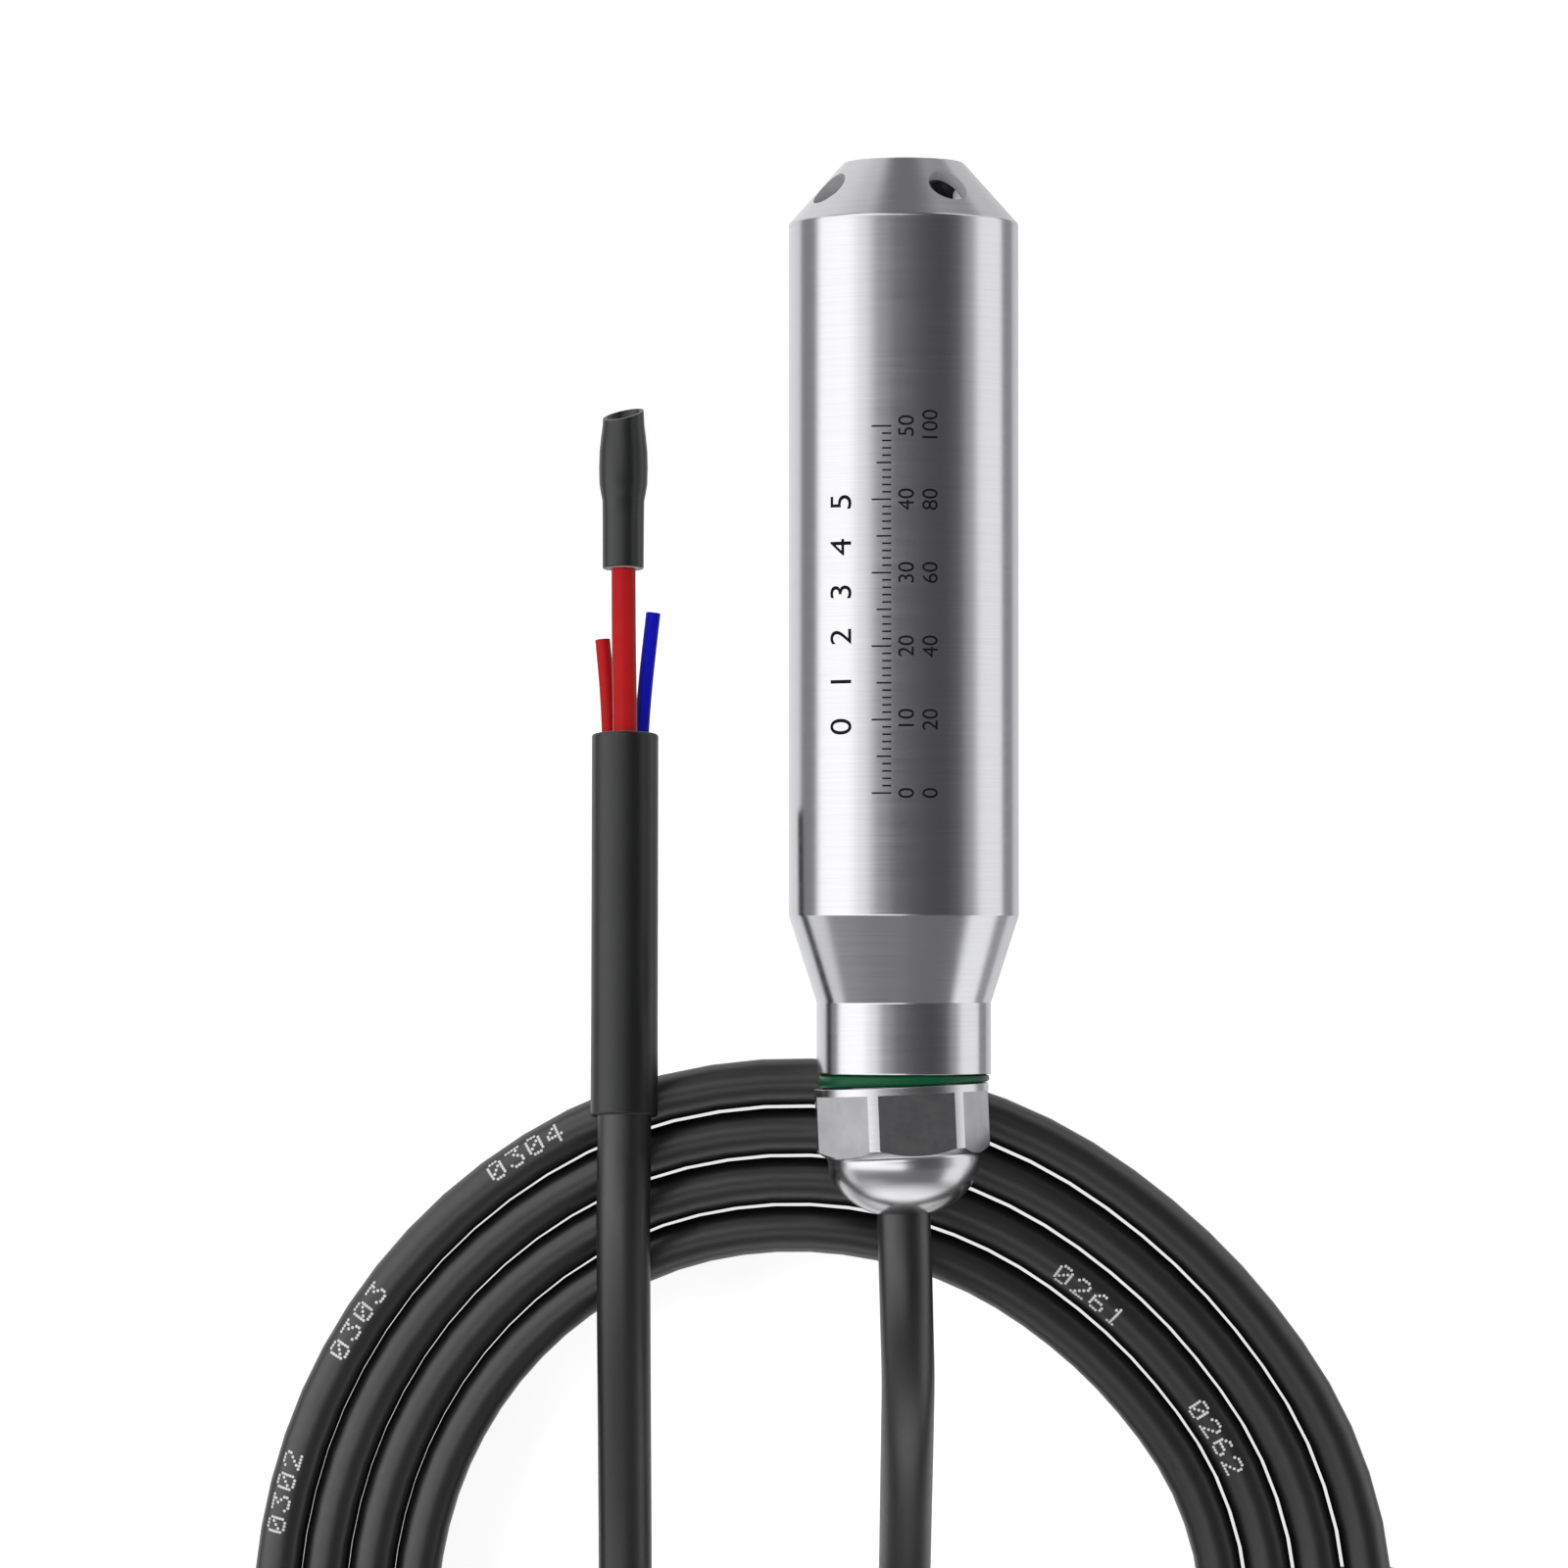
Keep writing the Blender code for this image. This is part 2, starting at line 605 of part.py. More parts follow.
def make_housing():
    thread = THREAD_RADIUS
    seat = ANCHOR_SEAT_DIAMETER / 2
    turned(
        "housing",
        by_depth(
            [
                (FRONT_BORE + 2 * EDGE_BREAK, BARREL_START),
                (BODY_RADIUS, BARREL_START),
                (BODY_RADIUS, BARREL_END),
                (NECK_DIAMETER / 2, TAPER_END),
                (NECK_DIAMETER / 2, NECK_END - EDGE_BREAK),
                (NECK_DIAMETER / 2 - EDGE_BREAK, NECK_END),
                (thread, NECK_END),
                (thread, THREAD_END - THREAD_RELIEF),
                (thread - THREAD_RELIEF, THREAD_END),
                (SEAL_POCKET, THREAD_END),
                (SEAL_POCKET, SEAL_POCKET_FLOOR),
                (NECK_BORE, SEAL_POCKET_FLOOR),
                (NECK_BORE, ANCHOR_SEAT),
                (seat, ANCHOR_SEAT),
                (seat, ANCHOR_SEAT - ANCHOR_SEAT_LENGTH),
                (BAY_BORE, BAY_END),
                (BAY_BORE, BORE_STEP),
                (FRONT_BORE, BORE_STEP),
                (FRONT_BORE, BARREL_START + 2 * EDGE_BREAK),
            ]
        ),
        STEEL,
        PROBE,
    )


def make_cell_holder():
    groove = HOLDER_START + HOLDER_GROOVE_DEPTH
    ring_radius = HOLDER_RADIUS - HOLDER_RING_SECTION / 2 + FINE_GAP
    groove_floor = ring_radius - HOLDER_RING_SECTION / 2 - FINE_GAP
    groove_end = groove + HOLDER_RING_SECTION + GROOVE_SLACK
    turned(
        "cell_holder",
        by_depth(
            [
                (HOLDER_WINDOW, HOLDER_START),
                (HOLDER_RADIUS - 2 * EDGE_BREAK, HOLDER_START),
                (HOLDER_RADIUS, HOLDER_START + 2 * EDGE_BREAK),
                (HOLDER_RADIUS, groove),
                (groove_floor, groove),
                (groove_floor, groove_end),
                (HOLDER_RADIUS, groove_end),
                (HOLDER_RADIUS, HOLDER_END),
                (CELL_BORE, HOLDER_END),
                (CELL_BORE, LIP_END),
                (HOLDER_WINDOW, LIP_END),
            ]
        ),
        STEEL,
        PROBE,
    )
    middle = (groove + groove_end) / 2
    seal_ring("holder_o_ring", ring_radius, HOLDER_RING_SECTION, -middle, BLACK_RUBBER, PROBE, around=6)


def make_pressure_cell():
    snout, bore = SNOUT_DIAMETER / 2, SNOUT_BORE / 2
    groove = CELL_START + CELL_GROOVE_DEPTH
    ring_radius = CELL_RADIUS - CELL_RING_SECTION / 2 + FINE_GAP
    groove_floor = ring_radius - CELL_RING_SECTION / 2 - FINE_GAP
    groove_end = groove + CELL_RING_SECTION + GROOVE_SLACK
    recess = CELL_RADIUS - CELL_RIM
    turned(
        "sensor_cell",
        by_depth(
            [
                (0.0, CELL_START + CELL_RECESS),
                (recess, CELL_START + CELL_RECESS),
                (recess, CELL_START),
                (CELL_RADIUS, CELL_START),
                (CELL_RADIUS, groove),
                (groove_floor, groove),
                (groove_floor, groove_end),
                (CELL_RADIUS, groove_end),
                (CELL_RADIUS, CELL_END),
                (recess, CELL_END),
                (recess, HEADER_FLOOR),
                (snout, HEADER_FLOOR),
                (snout, HEADER_FLOOR + SNOUT_LENGTH),
                (bore, HEADER_FLOOR + SNOUT_LENGTH),
                (bore, HEADER_FLOOR + SNOUT_LENGTH / 3),
                (0.0, HEADER_FLOOR + SNOUT_LENGTH / 3),
            ]
        ),
        STEEL,
        PROBE,
        sides=INNER_SIDES,
        closed=False,
    )
    middle = (groove + groove_end) / 2
    seal_ring("cell_o_ring", ring_radius, CELL_RING_SECTION, -middle, BLACK_RUBBER, PROBE, sides=INNER_SIDES, around=6)
    weld_outer = CELL_RADIUS - FINE_GAP
    turned(
        "weld_ring",
        by_depth(
            [
                (weld_outer - WELD_RING_WIDTH, WELD_RING_START),
                (weld_outer, WELD_RING_START),
                (weld_outer, WELD_RING_START + WELD_RING_THICKNESS),
                (weld_outer - WELD_RING_WIDTH, WELD_RING_START + WELD_RING_THICKNESS),
            ]
        ),
        STEEL,
        PROBE,
        sides=INNER_SIDES,
    )


def make_diaphragm():
    """A thin foil, pressed into round waves between its flat middle and its flat rim."""
    edge = CELL_RADIUS - 2 * FINE_GAP
    wavy = CELL_RADIUS - CELL_RIM - DIAPHRAGM_FLAT_RADIUS - 2 * FINE_GAP
    steps = 4 * DIAPHRAGM_WAVES
    ripple = []
    for k in range(steps + 1):
        rise = DIAPHRAGM_WAVE_HEIGHT / 2 * (1 - math.cos(FULL_TURN * DIAPHRAGM_WAVES * k / steps))
        ripple.append((DIAPHRAGM_FLAT_RADIUS + wavy * k / steps, DIAPHRAGM_START + rise))
    front = [(0.0, DIAPHRAGM_START), *ripple, (edge, DIAPHRAGM_START)]
    back = [(radius, depth + DIAPHRAGM_THICKNESS) for radius, depth in reversed(front)]
    turned("isolating_diaphragm", by_depth(front + back), FOIL, PROBE, sides=SMALL_SIDES, closed=False)


def make_retaining_ring():
    ring = turned(
        "retaining_ring",
        by_depth(
            [
                (CELL_RADIUS - RETAINER_WALL, RETAINER_START),
                (CELL_RADIUS, RETAINER_START),
                (CELL_RADIUS, RETAINER_END),
                (CELL_RADIUS - RETAINER_WALL, RETAINER_END),
            ]
        ),
        BRASS,
        PROBE,
        sides=INNER_SIDES,
    )
    across = (6 * CELL_RADIUS, SPANNER_SLOT, RETAINER_LENGTH)
    cut(ring, block("spanner_slot", across, (0.0, 0.0, -RETAINER_END), None, PROBE))


def make_header_pins():
    start = HEADER_FLOOR + SEAT_GAP
    length = SENSOR_BOARD_START + SENSOR_BOARD_THICKNESS + FINE_GAP - start
    for number, turn in enumerate(around_axis(PIN_COUNT, PIN_TURN), 1):
        centre = towards(turn) * PIN_CIRCLE_RADIUS - Vector((0.0, 0.0, start + length / 2))
        rod(
            f"header_pin_{number}",
            PIN_DIAMETER / 2,
            length,
            Matrix.Translation(centre),
            BRASS,
            PROBE,
            sides=12,
        )


def make_sensor_board():
    end = SENSOR_BOARD_START + SENSOR_BOARD_THICKNESS
    centre_hole = SNOUT_DIAMETER / 2 + SEAT_GAP
    board = turned(
        "sensor_board",
        by_depth(
            [
                (centre_hole, SENSOR_BOARD_START),
                (SENSOR_BOARD_RADIUS, SENSOR_BOARD_START),
                (SENSOR_BOARD_RADIUS, end),
                (centre_hole, end),
            ]
        ),
        BOARD_GREEN,
        PROBE,
        sides=INNER_SIDES,
    )
    for number, turn in enumerate(around_axis(PIN_COUNT, PIN_TURN), 1):
        centre = towards(turn) * PIN_CIRCLE_RADIUS - Vector((0.0, 0.0, end))
        drill = rod(
            f"pin_drill_{number}",
            PIN_DIAMETER / 2 + FINE_GAP,
            4 * SENSOR_BOARD_THICKNESS,
            Matrix.Translation(centre),
            None,
            PROBE,
            sides=12,
        )
        cut(board, drill)


def make_liner():
    turned(
        "insulating_liner",
        by_depth(
            [
                (LINER_BORE, LINER_FRONT),
                (LINER_RADIUS, LINER_FRONT),
                (LINER_RADIUS, LINER_END),
                (LINER_BORE, LINER_END),
            ]
        ),
        LINER,
        PROBE,
        sides=INNER_SIDES,
    )


def make_carrier(name, start, slot_centre):
    """A plastic disc that holds one end of the board, with windows for the wires."""
    disc = turned(
        name,
        by_depth(
            [
                (0.0, start),
                (CARRIER_RADIUS - EDGE_BREAK, start),
                (CARRIER_RADIUS, start + EDGE_BREAK),
                (CARRIER_RADIUS, start + CARRIER_THICKNESS),
                (0.0, start + CARRIER_THICKNESS),
            ]
        ),
        CARRIER,
        PROBE,
        sides=INNER_SIDES,
        closed=False,
    )
    slot = (BOARD_WIDTH + 2 * SEAT_GAP, BOARD_THICKNESS + 2 * SEAT_GAP, 2 * CARRIER_SLOT_DEPTH)
    cut(disc, block(f"{name}_slot", slot, (0.0, 0.0, -slot_centre), None, PROBE))
    window = (WIRE_SPACING + 3.0 * MM, 3.6 * MM, 3 * CARRIER_THICKNESS)
    window_centre = (0.0, -BOARD_THICKNESS / 2 - WIRE_HEIGHT, -start)
    cut(disc, block(f"{name}_window", window, window_centre, None, PROBE))


def make_board():
    middle = (BOARD_START + BOARD_END) / 2
    board = block(
        "circuit_board", (BOARD_WIDTH, BOARD_THICKNESS, BOARD_LENGTH), (0.0, 0.0, -middle), BOARD_GREEN, PROBE
    )
    notch = (2.0 * MM, 3 * BOARD_THICKNESS, 3.0 * MM)
    centres = [(side * BOARD_WIDTH / 2, 0.0, -middle) for side in (-1, 1)]
    cut(board, blocks("board_notches", [(notch, centre) for centre in centres], None, PROBE))


def make_chip(name, width, length, height, depth, across, legs):
    """A moulded package with a row of bent legs down each side."""
    base = SEAT_GAP
    centre = (across, -depth, base + height / 2)
    package = block(name, (width, length, height), centre, CHIP_BLACK, BOARD_TOP, bevel=EDGE_BREAK)
    pitch = length / legs
    rows = []
    for side in (-1, 1):
        for k in range(legs):
            along = -depth + (k - (legs - 1) / 2) * pitch
            foot = (1.1 * MM, pitch * 0.4, 0.5 * MM)
            rows.append((foot, (across + side * (width / 2 + 0.35 * MM), along, FINE_GAP + 0.25 * MM)))
    join(package, blocks(f"{name}_legs", rows, TIN, BOARD_TOP))


def make_components():
    make_chip("signal_amplifier", 4.0 * MM, 5.0 * MM, 1.5 * MM, 48.0 * MM, -3.6 * MM, 4)
    make_chip("microcontroller", 5.0 * MM, 7.8 * MM, 1.4 * MM, 55.5 * MM, 3.2 * MM, 7)
    make_chip("current_driver", 3.6 * MM, 4.2 * MM, 1.5 * MM, 62.5 * MM, -4.2 * MM, 3)
    can = 2.5 * MM
    capacitor = turned(
        "filter_capacitor",
        [
            (0.0, 6.4 * MM),
            (can - 0.4 * MM, 6.4 * MM),
            (can, 6.0 * MM),
            (can, 2.2 * MM),
            (can - 0.3 * MM, 1.9 * MM),
            (can, 1.6 * MM),
            (can, SEAT_GAP),
            (0.0, SEAT_GAP),
        ],
        TIN,
        BOARD_TOP,
        sides=SMALL_SIDES,
        closed=False,
    )
    capacitor.location = (4.6 * MM, -65.0 * MM, 0.0)
    drum = 2.4 * MM
    inductor = turned(
        "input_inductor",
        [
            (0.0, 4.0 * MM),
            (drum, 4.0 * MM),
            (drum, 3.3 * MM),
            (drum - 0.7 * MM, 3.1 * MM),
            (drum - 0.7 * MM, 1.2 * MM),
            (drum, 1.0 * MM),
            (drum, SEAT_GAP),
            (0.0, SEAT_GAP),
        ],
        CHIP_BLACK,
        BOARD_TOP,
        sides=SMALL_SIDES,
        closed=False,
    )
    inductor.location = (-4.4 * MM, -55.0 * MM, 0.0)
    barrel = 1.3 * MM
    suppressor = turned(
        "surge_suppressor",
        [
            (0.0, 2.9 * MM),
            (barrel, 2.9 * MM),
            (barrel, 1.9 * MM),
            (barrel - 0.2 * MM, 1.8 * MM),
            (barrel - 0.2 * MM, -1.8 * MM),
            (barrel, -1.9 * MM),
            (barrel, -2.9 * MM),
            (0.0, -2.9 * MM),
        ],
        TIN,
        BOARD_TOP,
        sides=16,
        closed=False,
    )
    suppressor.location = (4.4 * MM, -47.0 * MM, barrel + SEAT_GAP)
    suppressor.rotation_euler = (0.0, math.pi / 2, 0.0)


def make_terminal_block():
    centre = (0.0, -(BLOCK_START + BLOCK_END) / 2, SEAT_GAP + BLOCK_HEIGHT / 2)
    body = block("terminal_block", (BLOCK_WIDTH, BLOCK_LENGTH, BLOCK_HEIGHT), centre, CARRIER, BOARD_TOP)
    well = TERMINAL_SCREW_DIAMETER / 2 + SEAT_GAP
    top = SEAT_GAP + BLOCK_HEIGHT
    for number, side in enumerate((-1, 1), 1):
        across = side * WIRE_SPACING / 2
        well_centre = Matrix.Translation((across, centre[1], top))
        cut(body, rod(f"screw_well_{number}", well, 3.6 * MM, well_centre, None, BOARD_TOP, sides=20))
        entry = Matrix.Translation((across, -BLOCK_END, WIRE_HEIGHT)) @ Matrix.Rotation(math.pi / 2, 4, "X")
        bore = INNER_WIRE_DIAMETER / 2 + SEAT_GAP
        cut(body, rod(f"wire_entry_{number}", bore, 5.0 * MM, entry, None, BOARD_TOP, sides=16))
        head = Matrix.Translation((across, centre[1], top - 0.8 * MM))
        screw = rod(
            f"terminal_screw_{number}",
            TERMINAL_SCREW_DIAMETER / 2,
            1.4 * MM,
            head,
            TIN,
            BOARD_TOP,
            sides=20,
        )
        slot = (0.5 * MM, 4.0 * MM, 0.8 * MM)
        cut(screw, block(f"driver_slot_{number}", slot, (across, centre[1], top - 0.1 * MM), None, BOARD_TOP))


def make_ribbon():
    """The flat flexible link from the sensor board through the front carrier to the main board."""
    rise = BOARD_THICKNESS / 2
    start = SENSOR_BOARD_START + SENSOR_BOARD_THICKNESS + SEAT_GAP
    middle = rise + WIRE_HEIGHT
    route = [
        (start, middle - 0.9 * MM, 0.0),
        (start + 1.0 * MM, middle, 0.0),
        (FRONT_CARRIER_START + CARRIER_THICKNESS / 2, middle, 0.0),
        (FRONT_CARRIER_END + 1.5 * MM, middle - 1.2 * MM, 0.0),
        (FRONT_CARRIER_END + 3.0 * MM, rise + RIBBON_THICKNESS + SEAT_GAP, 0.0),
        (FRONT_CARRIER_END + 4.6 * MM, rise + RIBBON_THICKNESS + SEAT_GAP, 0.0),
    ]
    centre = smooth_route(route, 1.0 * MM)
    upper, lower = [], []
    for k, point in enumerate(centre):
        ahead = centre[min(k + 1, len(centre) - 1)] - centre[max(k - 1, 0)]
        side = Vector((-ahead.y, ahead.x)).normalized() * RIBBON_THICKNESS / 2
        upper.append((point.x + side.x, point.y + side.y))
        lower.append((point.x - side.x, point.y - side.y))
    along_probe = Matrix(((0, 0, 1, 0), (0, -1, 0, 0), (-1, 0, 0, 0), (0, 0, 0, 1)))
    flat_plate("ribbon_link", [upper + lower[::-1]], RIBBON_WIDTH, LINER, PROBE, along_probe)


def make_inner_wires():
    across, height = WIRE_SPACING / 2, -BOARD_THICKNESS / 2 - WIRE_HEIGHT
    end = CABLE_TAIL_START - SEAT_GAP
    at_cable = (CABLE_RADIUS * 0.42, -CABLE_RADIUS * 0.35)
    for name, side, finish in (("inner_red_wire", -1, RED_PLASTIC), ("inner_blue_wire", 1, BLUE_PLASTIC)):
        route = [
            (side * across, height, -(BLOCK_END - 1.8 * MM)),
            (side * across, height, -REAR_CARRIER_START),
            (side * across, height, -REAR_CARRIER_END),
            (side * at_cable[0], at_cable[1], -(end - 1.2 * MM)),
            (side * at_cable[0], at_cable[1], -end),
        ]
        tube(name, smooth_route(route, 1.4 * MM), INNER_WIRE_DIAMETER, finish, PROBE)
    vent = [(0.0, CABLE_RADIUS * 0.45, -end), (0.0, CABLE_RADIUS * 0.45, -(end - INNER_VENT_LENGTH))]
    tube("inner_vent_tube", smooth_route(vent, 2.0 * MM), INNER_VENT_DIAMETER, RED_PLASTIC, PROBE)


def make_cable_anchor():
    """The crimped ferrule inside the taper, which takes the pull of the cable."""
    bore = CABLE_RADIUS + FINE_GAP
    tube_radius = bore + ANCHOR_WALL
    flange = ANCHOR_SEAT_DIAMETER / 2 - SEAT_GAP
    front = ANCHOR_END - ANCHOR_LENGTH
    crimp = (ANCHOR_LENGTH - ANCHOR_FLANGE) / 6
    profile = [(bore, front), (tube_radius, front)]
    for k in (1, 3):
        profile += [
            (tube_radius, front + k * crimp),
            (tube_radius - ANCHOR_WALL / 2, front + (k + 0.5) * crimp),
            (tube_radius, front + (k + 1) * crimp),
        ]
    profile += [
        (tube_radius, ANCHOR_END - ANCHOR_FLANGE),
        (flange, ANCHOR_END - ANCHOR_FLANGE),
        (flange, ANCHOR_END),
        (bore, ANCHOR_END),
    ]
    turned("cable_anchor", by_depth(profile), STEEL, PROBE, sides=INNER_SIDES)


def make_cable_tail():
    length = CABLE_TAIL_END - CABLE_TAIL_START
    centre = Matrix.Translation((0.0, 0.0, -(CABLE_TAIL_START + length / 2)))
    rod("cable_tail", CABLE_RADIUS, length, centre, JACKET, PROBE, sides=SMALL_SIDES)


def squeeze_radius(depth):
    """Inside radius of the nut's clamping cone."""
    return MOUTH_RADIUS + SQUEEZE_LIP + SQUEEZE_SLOPE * (SQUEEZE_END - depth)


def make_gland_seals():
    washer_bore = CABLE_RADIUS + CABLE_CLEARANCE
    turned(
        "thrust_washer",
        by_depth(
            [
                (washer_bore, WASHER_START),
                (CAGE_RADIUS, WASHER_START),
                (CAGE_RADIUS, WASHER_START + WASHER_THICKNESS),
                (washer_bore, WASHER_START + WASHER_THICKNESS),
            ]
        ),
        NYLON,
        PROBE,
        sides=INNER_SIDES,
    )
    finger_end = CAGE_FLANGE_END + CAGE_FINGER_LENGTH
    tip = squeeze_radius(finger_end) - 2 * SEAT_GAP
    waist = squeeze_radius(SQUEEZE_START) - 2 * SEAT_GAP
    cage = turned(
        "clamping_cage",
        by_depth(
            [
                (CAGE_BORE, GROMMET_START),
                (CAGE_RADIUS, GROMMET_START),
                (CAGE_RADIUS, CAGE_FLANGE_START),
                (CAGE_FLANGE_RADIUS, CAGE_FLANGE_START),
                (CAGE_FLANGE_RADIUS, CAGE_FLANGE_END),
                (waist, CAGE_FLANGE_END),
                (waist, SQUEEZE_START),
                (tip, finger_end),
                (tip - CAGE_WALL * 0.8, finger_end),
                (CAGE_BORE, SQUEEZE_START),
            ]
        ),
        NYLON,
        PROBE,
        sides=TURNED_SIDES,
    )
    saw = (6 * THREAD_RADIUS, CAGE_SLOT, 2 * CAGE_FINGER_LENGTH)
    for k in range(CAGE_FINGERS // 2):
        blade = block(f"finger_saw_{k + 1}", saw, (0.0, 0.0, 0.0), None, PROBE)
        blade.location = (0.0, 0.0, -(CAGE_FLANGE_END + CAGE_FINGER_LENGTH + 2 * EDGE_BREAK))
        blade.rotation_euler = (0.0, 0.0, math.pi * (k + 0.5) / (CAGE_FINGERS // 2))
        cut(cage, blade)
    grommet_radius = GROMMET_BORE + GROMMET_WALL
    grommet_end = GROMMET_START + GROMMET_LENGTH
    end_radius = tip - CAGE_WALL * 0.8 - 2 * SEAT_GAP
    turned(
        "sealing_grommet",
        by_depth(
            [
                (GROMMET_BORE, GROMMET_START),
                (grommet_radius - 2 * EDGE_BREAK, GROMMET_START),
                (grommet_radius, GROMMET_START + 2 * EDGE_BREAK),
                (grommet_radius, SQUEEZE_START - SEAT_GAP),
                (max(end_radius, GROMMET_BORE + 2 * EDGE_BREAK), grommet_end),
                (GROMMET_BORE, grommet_end),
            ]
        ),
        BLACK_RUBBER,
        PROBE,
        sides=INNER_SIDES,
    )


def skewed(name, depth, skew):
    """An empty that leans a piece of the gland to one side, as it was tightened."""
    return empty(name, (0.0, 0.0, -depth), (0.0, -skew, 0.0), PROBE)


def make_gland_ring():
    middle = NECK_END + GLAND_RING_SPACE / 2
    ring_radius = NUT_RADIUS - GLAND_RING_SECTION / 2 - SEAT_GAP
    lean = skewed("ring_lean", middle, NUT_SKEW / 2)
    seal_ring("gland_o_ring", ring_radius, GLAND_RING_SECTION, 0.0, GREEN_RUBBER, lean)


def make_gland_nut():
    pivot = (NUT_TOP + MOUTH) / 2
    lean = skewed("nut_lean", pivot, NUT_SKEW)
    chamfer = DOME_START - NUT_CHAMFER_LENGTH
    dome = [
        (
            DOME_RADIUS * math.cos(step),
            DOME_START + DOME_HEIGHT * math.sin(step),
        )
        for step in (math.acos(MOUTH_RADIUS / DOME_RADIUS) * k / 6 for k in range(7))
    ]
    profile = [
        (NUT_THREAD_RADIUS + EDGE_BREAK, NUT_TOP),
        (NUT_RADIUS - EDGE_BREAK, NUT_TOP),
        (NUT_RADIUS, NUT_TOP + EDGE_BREAK),
        (NUT_RADIUS, chamfer),
        *dome,
        (MOUTH_RADIUS, SQUEEZE_END),
        (squeeze_radius(SQUEEZE_END), SQUEEZE_END),
        (squeeze_radius(SQUEEZE_START), SQUEEZE_START),
        (NUT_THREAD_RADIUS, SQUEEZE_START),
        (NUT_THREAD_RADIUS, NUT_TOP + EDGE_BREAK),
    ]
    nut = turned("gland_nut", [(r, pivot - depth) for r, depth in profile], STEEL, lean, sides=TURNED_SIDES)
    across = NUT_RADIUS - NUT_FLAT_DEPTH
    flat_start = NUT_TOP + NUT_COLLAR
    flat_length = DOME_START + EDGE_BREAK - flat_start
    for number, turn in enumerate(around_axis(6, HEX_TURN), 1):
        size = (2 * across, 2 * across, flat_length)
        centre = towards(turn) * 2 * across
        mill = block(f"flat_mill_{number}", size, (0.0, 0.0, 0.0), None, lean)
        mill.location = (centre.x, centre.y, pivot - flat_start - flat_length / 2)
        mill.rotation_euler = (0.0, 0.0, turn)
        cut(nut, mill)


def make_coil():
    """The closed outer shape of the coiled cable, lifted off the ground by its ties."""
    corner = CABLE_RADIUS
    inner, outer = COIL_INNER_RADIUS, COIL_OUTER_RADIUS
    profile = []
    for middle_radius, middle_height, first in (
        (outer - corner, COIL_TOP - corner, 90.0),
        (outer - corner, COIL_BOTTOM + corner, 0.0),
        (inner + corner, COIL_BOTTOM + corner, -90.0),
        (inner + corner, COIL_TOP - corner, -180.0),
    ):
        for k in range(3):
            step = math.radians(first - 45.0 * k)
            profile.append(
                (middle_radius + corner * math.cos(step), middle_height + corner * math.sin(step))
            )
    coil = turned("cable_coil", profile, JACKET, None, sides=TURNED_SIDES)
    coil.location = (COIL_CENTRE[0], COIL_CENTRE[1] + COIL_SHIFT, 0.0)


def rounded_rectangle(left, right, bottom, top, radius, steps=4):
    points = []
    for x, z, first in (
        (right - radius, top - radius, 0.0),
        (left + radius, top - radius, 90.0),
        (left + radius, bottom + radius, 180.0),
        (right - radius, bottom + radius, 270.0),
    ):
        for k in range(steps + 1):
            step = math.radians(first + 90.0 * k / steps)
            points.append((x + radius * math.cos(step), z + radius * math.sin(step)))
    return points


def make_ties():
    """Strap ties round the coil's section, each with its square head on the outside."""
    inner, outer = COIL_INNER_RADIUS - TIE_GAP, COIL_OUTER_RADIUS + TIE_GAP
    bottom, top = COIL_BOTTOM - TIE_GAP, COIL_TOP + TIE_GAP
    corner = CABLE_RADIUS + TIE_GAP
    hole = rounded_rectangle(inner, outer, bottom, top, corner)
    strap = rounded_rectangle(
        inner - TIE_THICKNESS,
        outer + TIE_THICKNESS,
        bottom - TIE_THICKNESS,
        top + TIE_THICKNESS,
        corner + TIE_THICKNESS,
    )
    centre = Vector((COIL_CENTRE[0], COIL_CENTRE[1] + COIL_SHIFT, 0.02 * MM))
    stand = Matrix(((1, 0, 0, 0), (0, 0, -1, 0), (0, 1, 0, 0), (0, 0, 0, 1)))
    for number, turn in enumerate(TIE_ANGLES, 1):
        spin = Matrix.Rotation(math.pi / 2 - turn, 4, "Z")
        matrix = Matrix.Translation(centre) @ spin @ stand
        tie = meshed(flat_plate(f"cable_tie_{number}", [strap, hole], TIE_WIDTH, NYLON, None, matrix))
        head_size = (3.2 * MM, TIE_WIDTH + 1.8 * MM, 4.6 * MM)
        head_centre = (outer + TIE_THICKNESS + 1.0 * MM, 0.0, COIL_TOP / 2)
        head = block(f"tie_head_{number}", head_size, head_centre, None, None)
        head.matrix_world = Matrix.Translation(centre) @ spin
        join(tie, head)


def make_free_cable():
    route_step = 2.6 * CABLE_DIAMETER
    gland = PROBE.matrix_world
    run = [gland @ Vector((0.0, 0.0, -(CABLE_TAIL_END + SEAT_GAP))), gland @ Vector((0.0, 0.0, -MOUTH))]
    run += [Vector(point) * MM for point in RUN_ROUTE]
    tube("cable_run", smooth_route(run, route_step), CABLE_DIAMETER, JACKET)
    lead = [Vector(point) * MM for point in LEAD_ROUTE]
    grip = LEAD.matrix_world
    lead = smooth_route([*lead, grip @ Vector((0.0, 0.0, 0.0))], route_step)
    lead.append(grip @ Vector((0.0, 0.0, SHRINK_GRIP - SEAT_GAP)))
    tube("cable_lead", lead, CABLE_DIAMETER, JACKET)


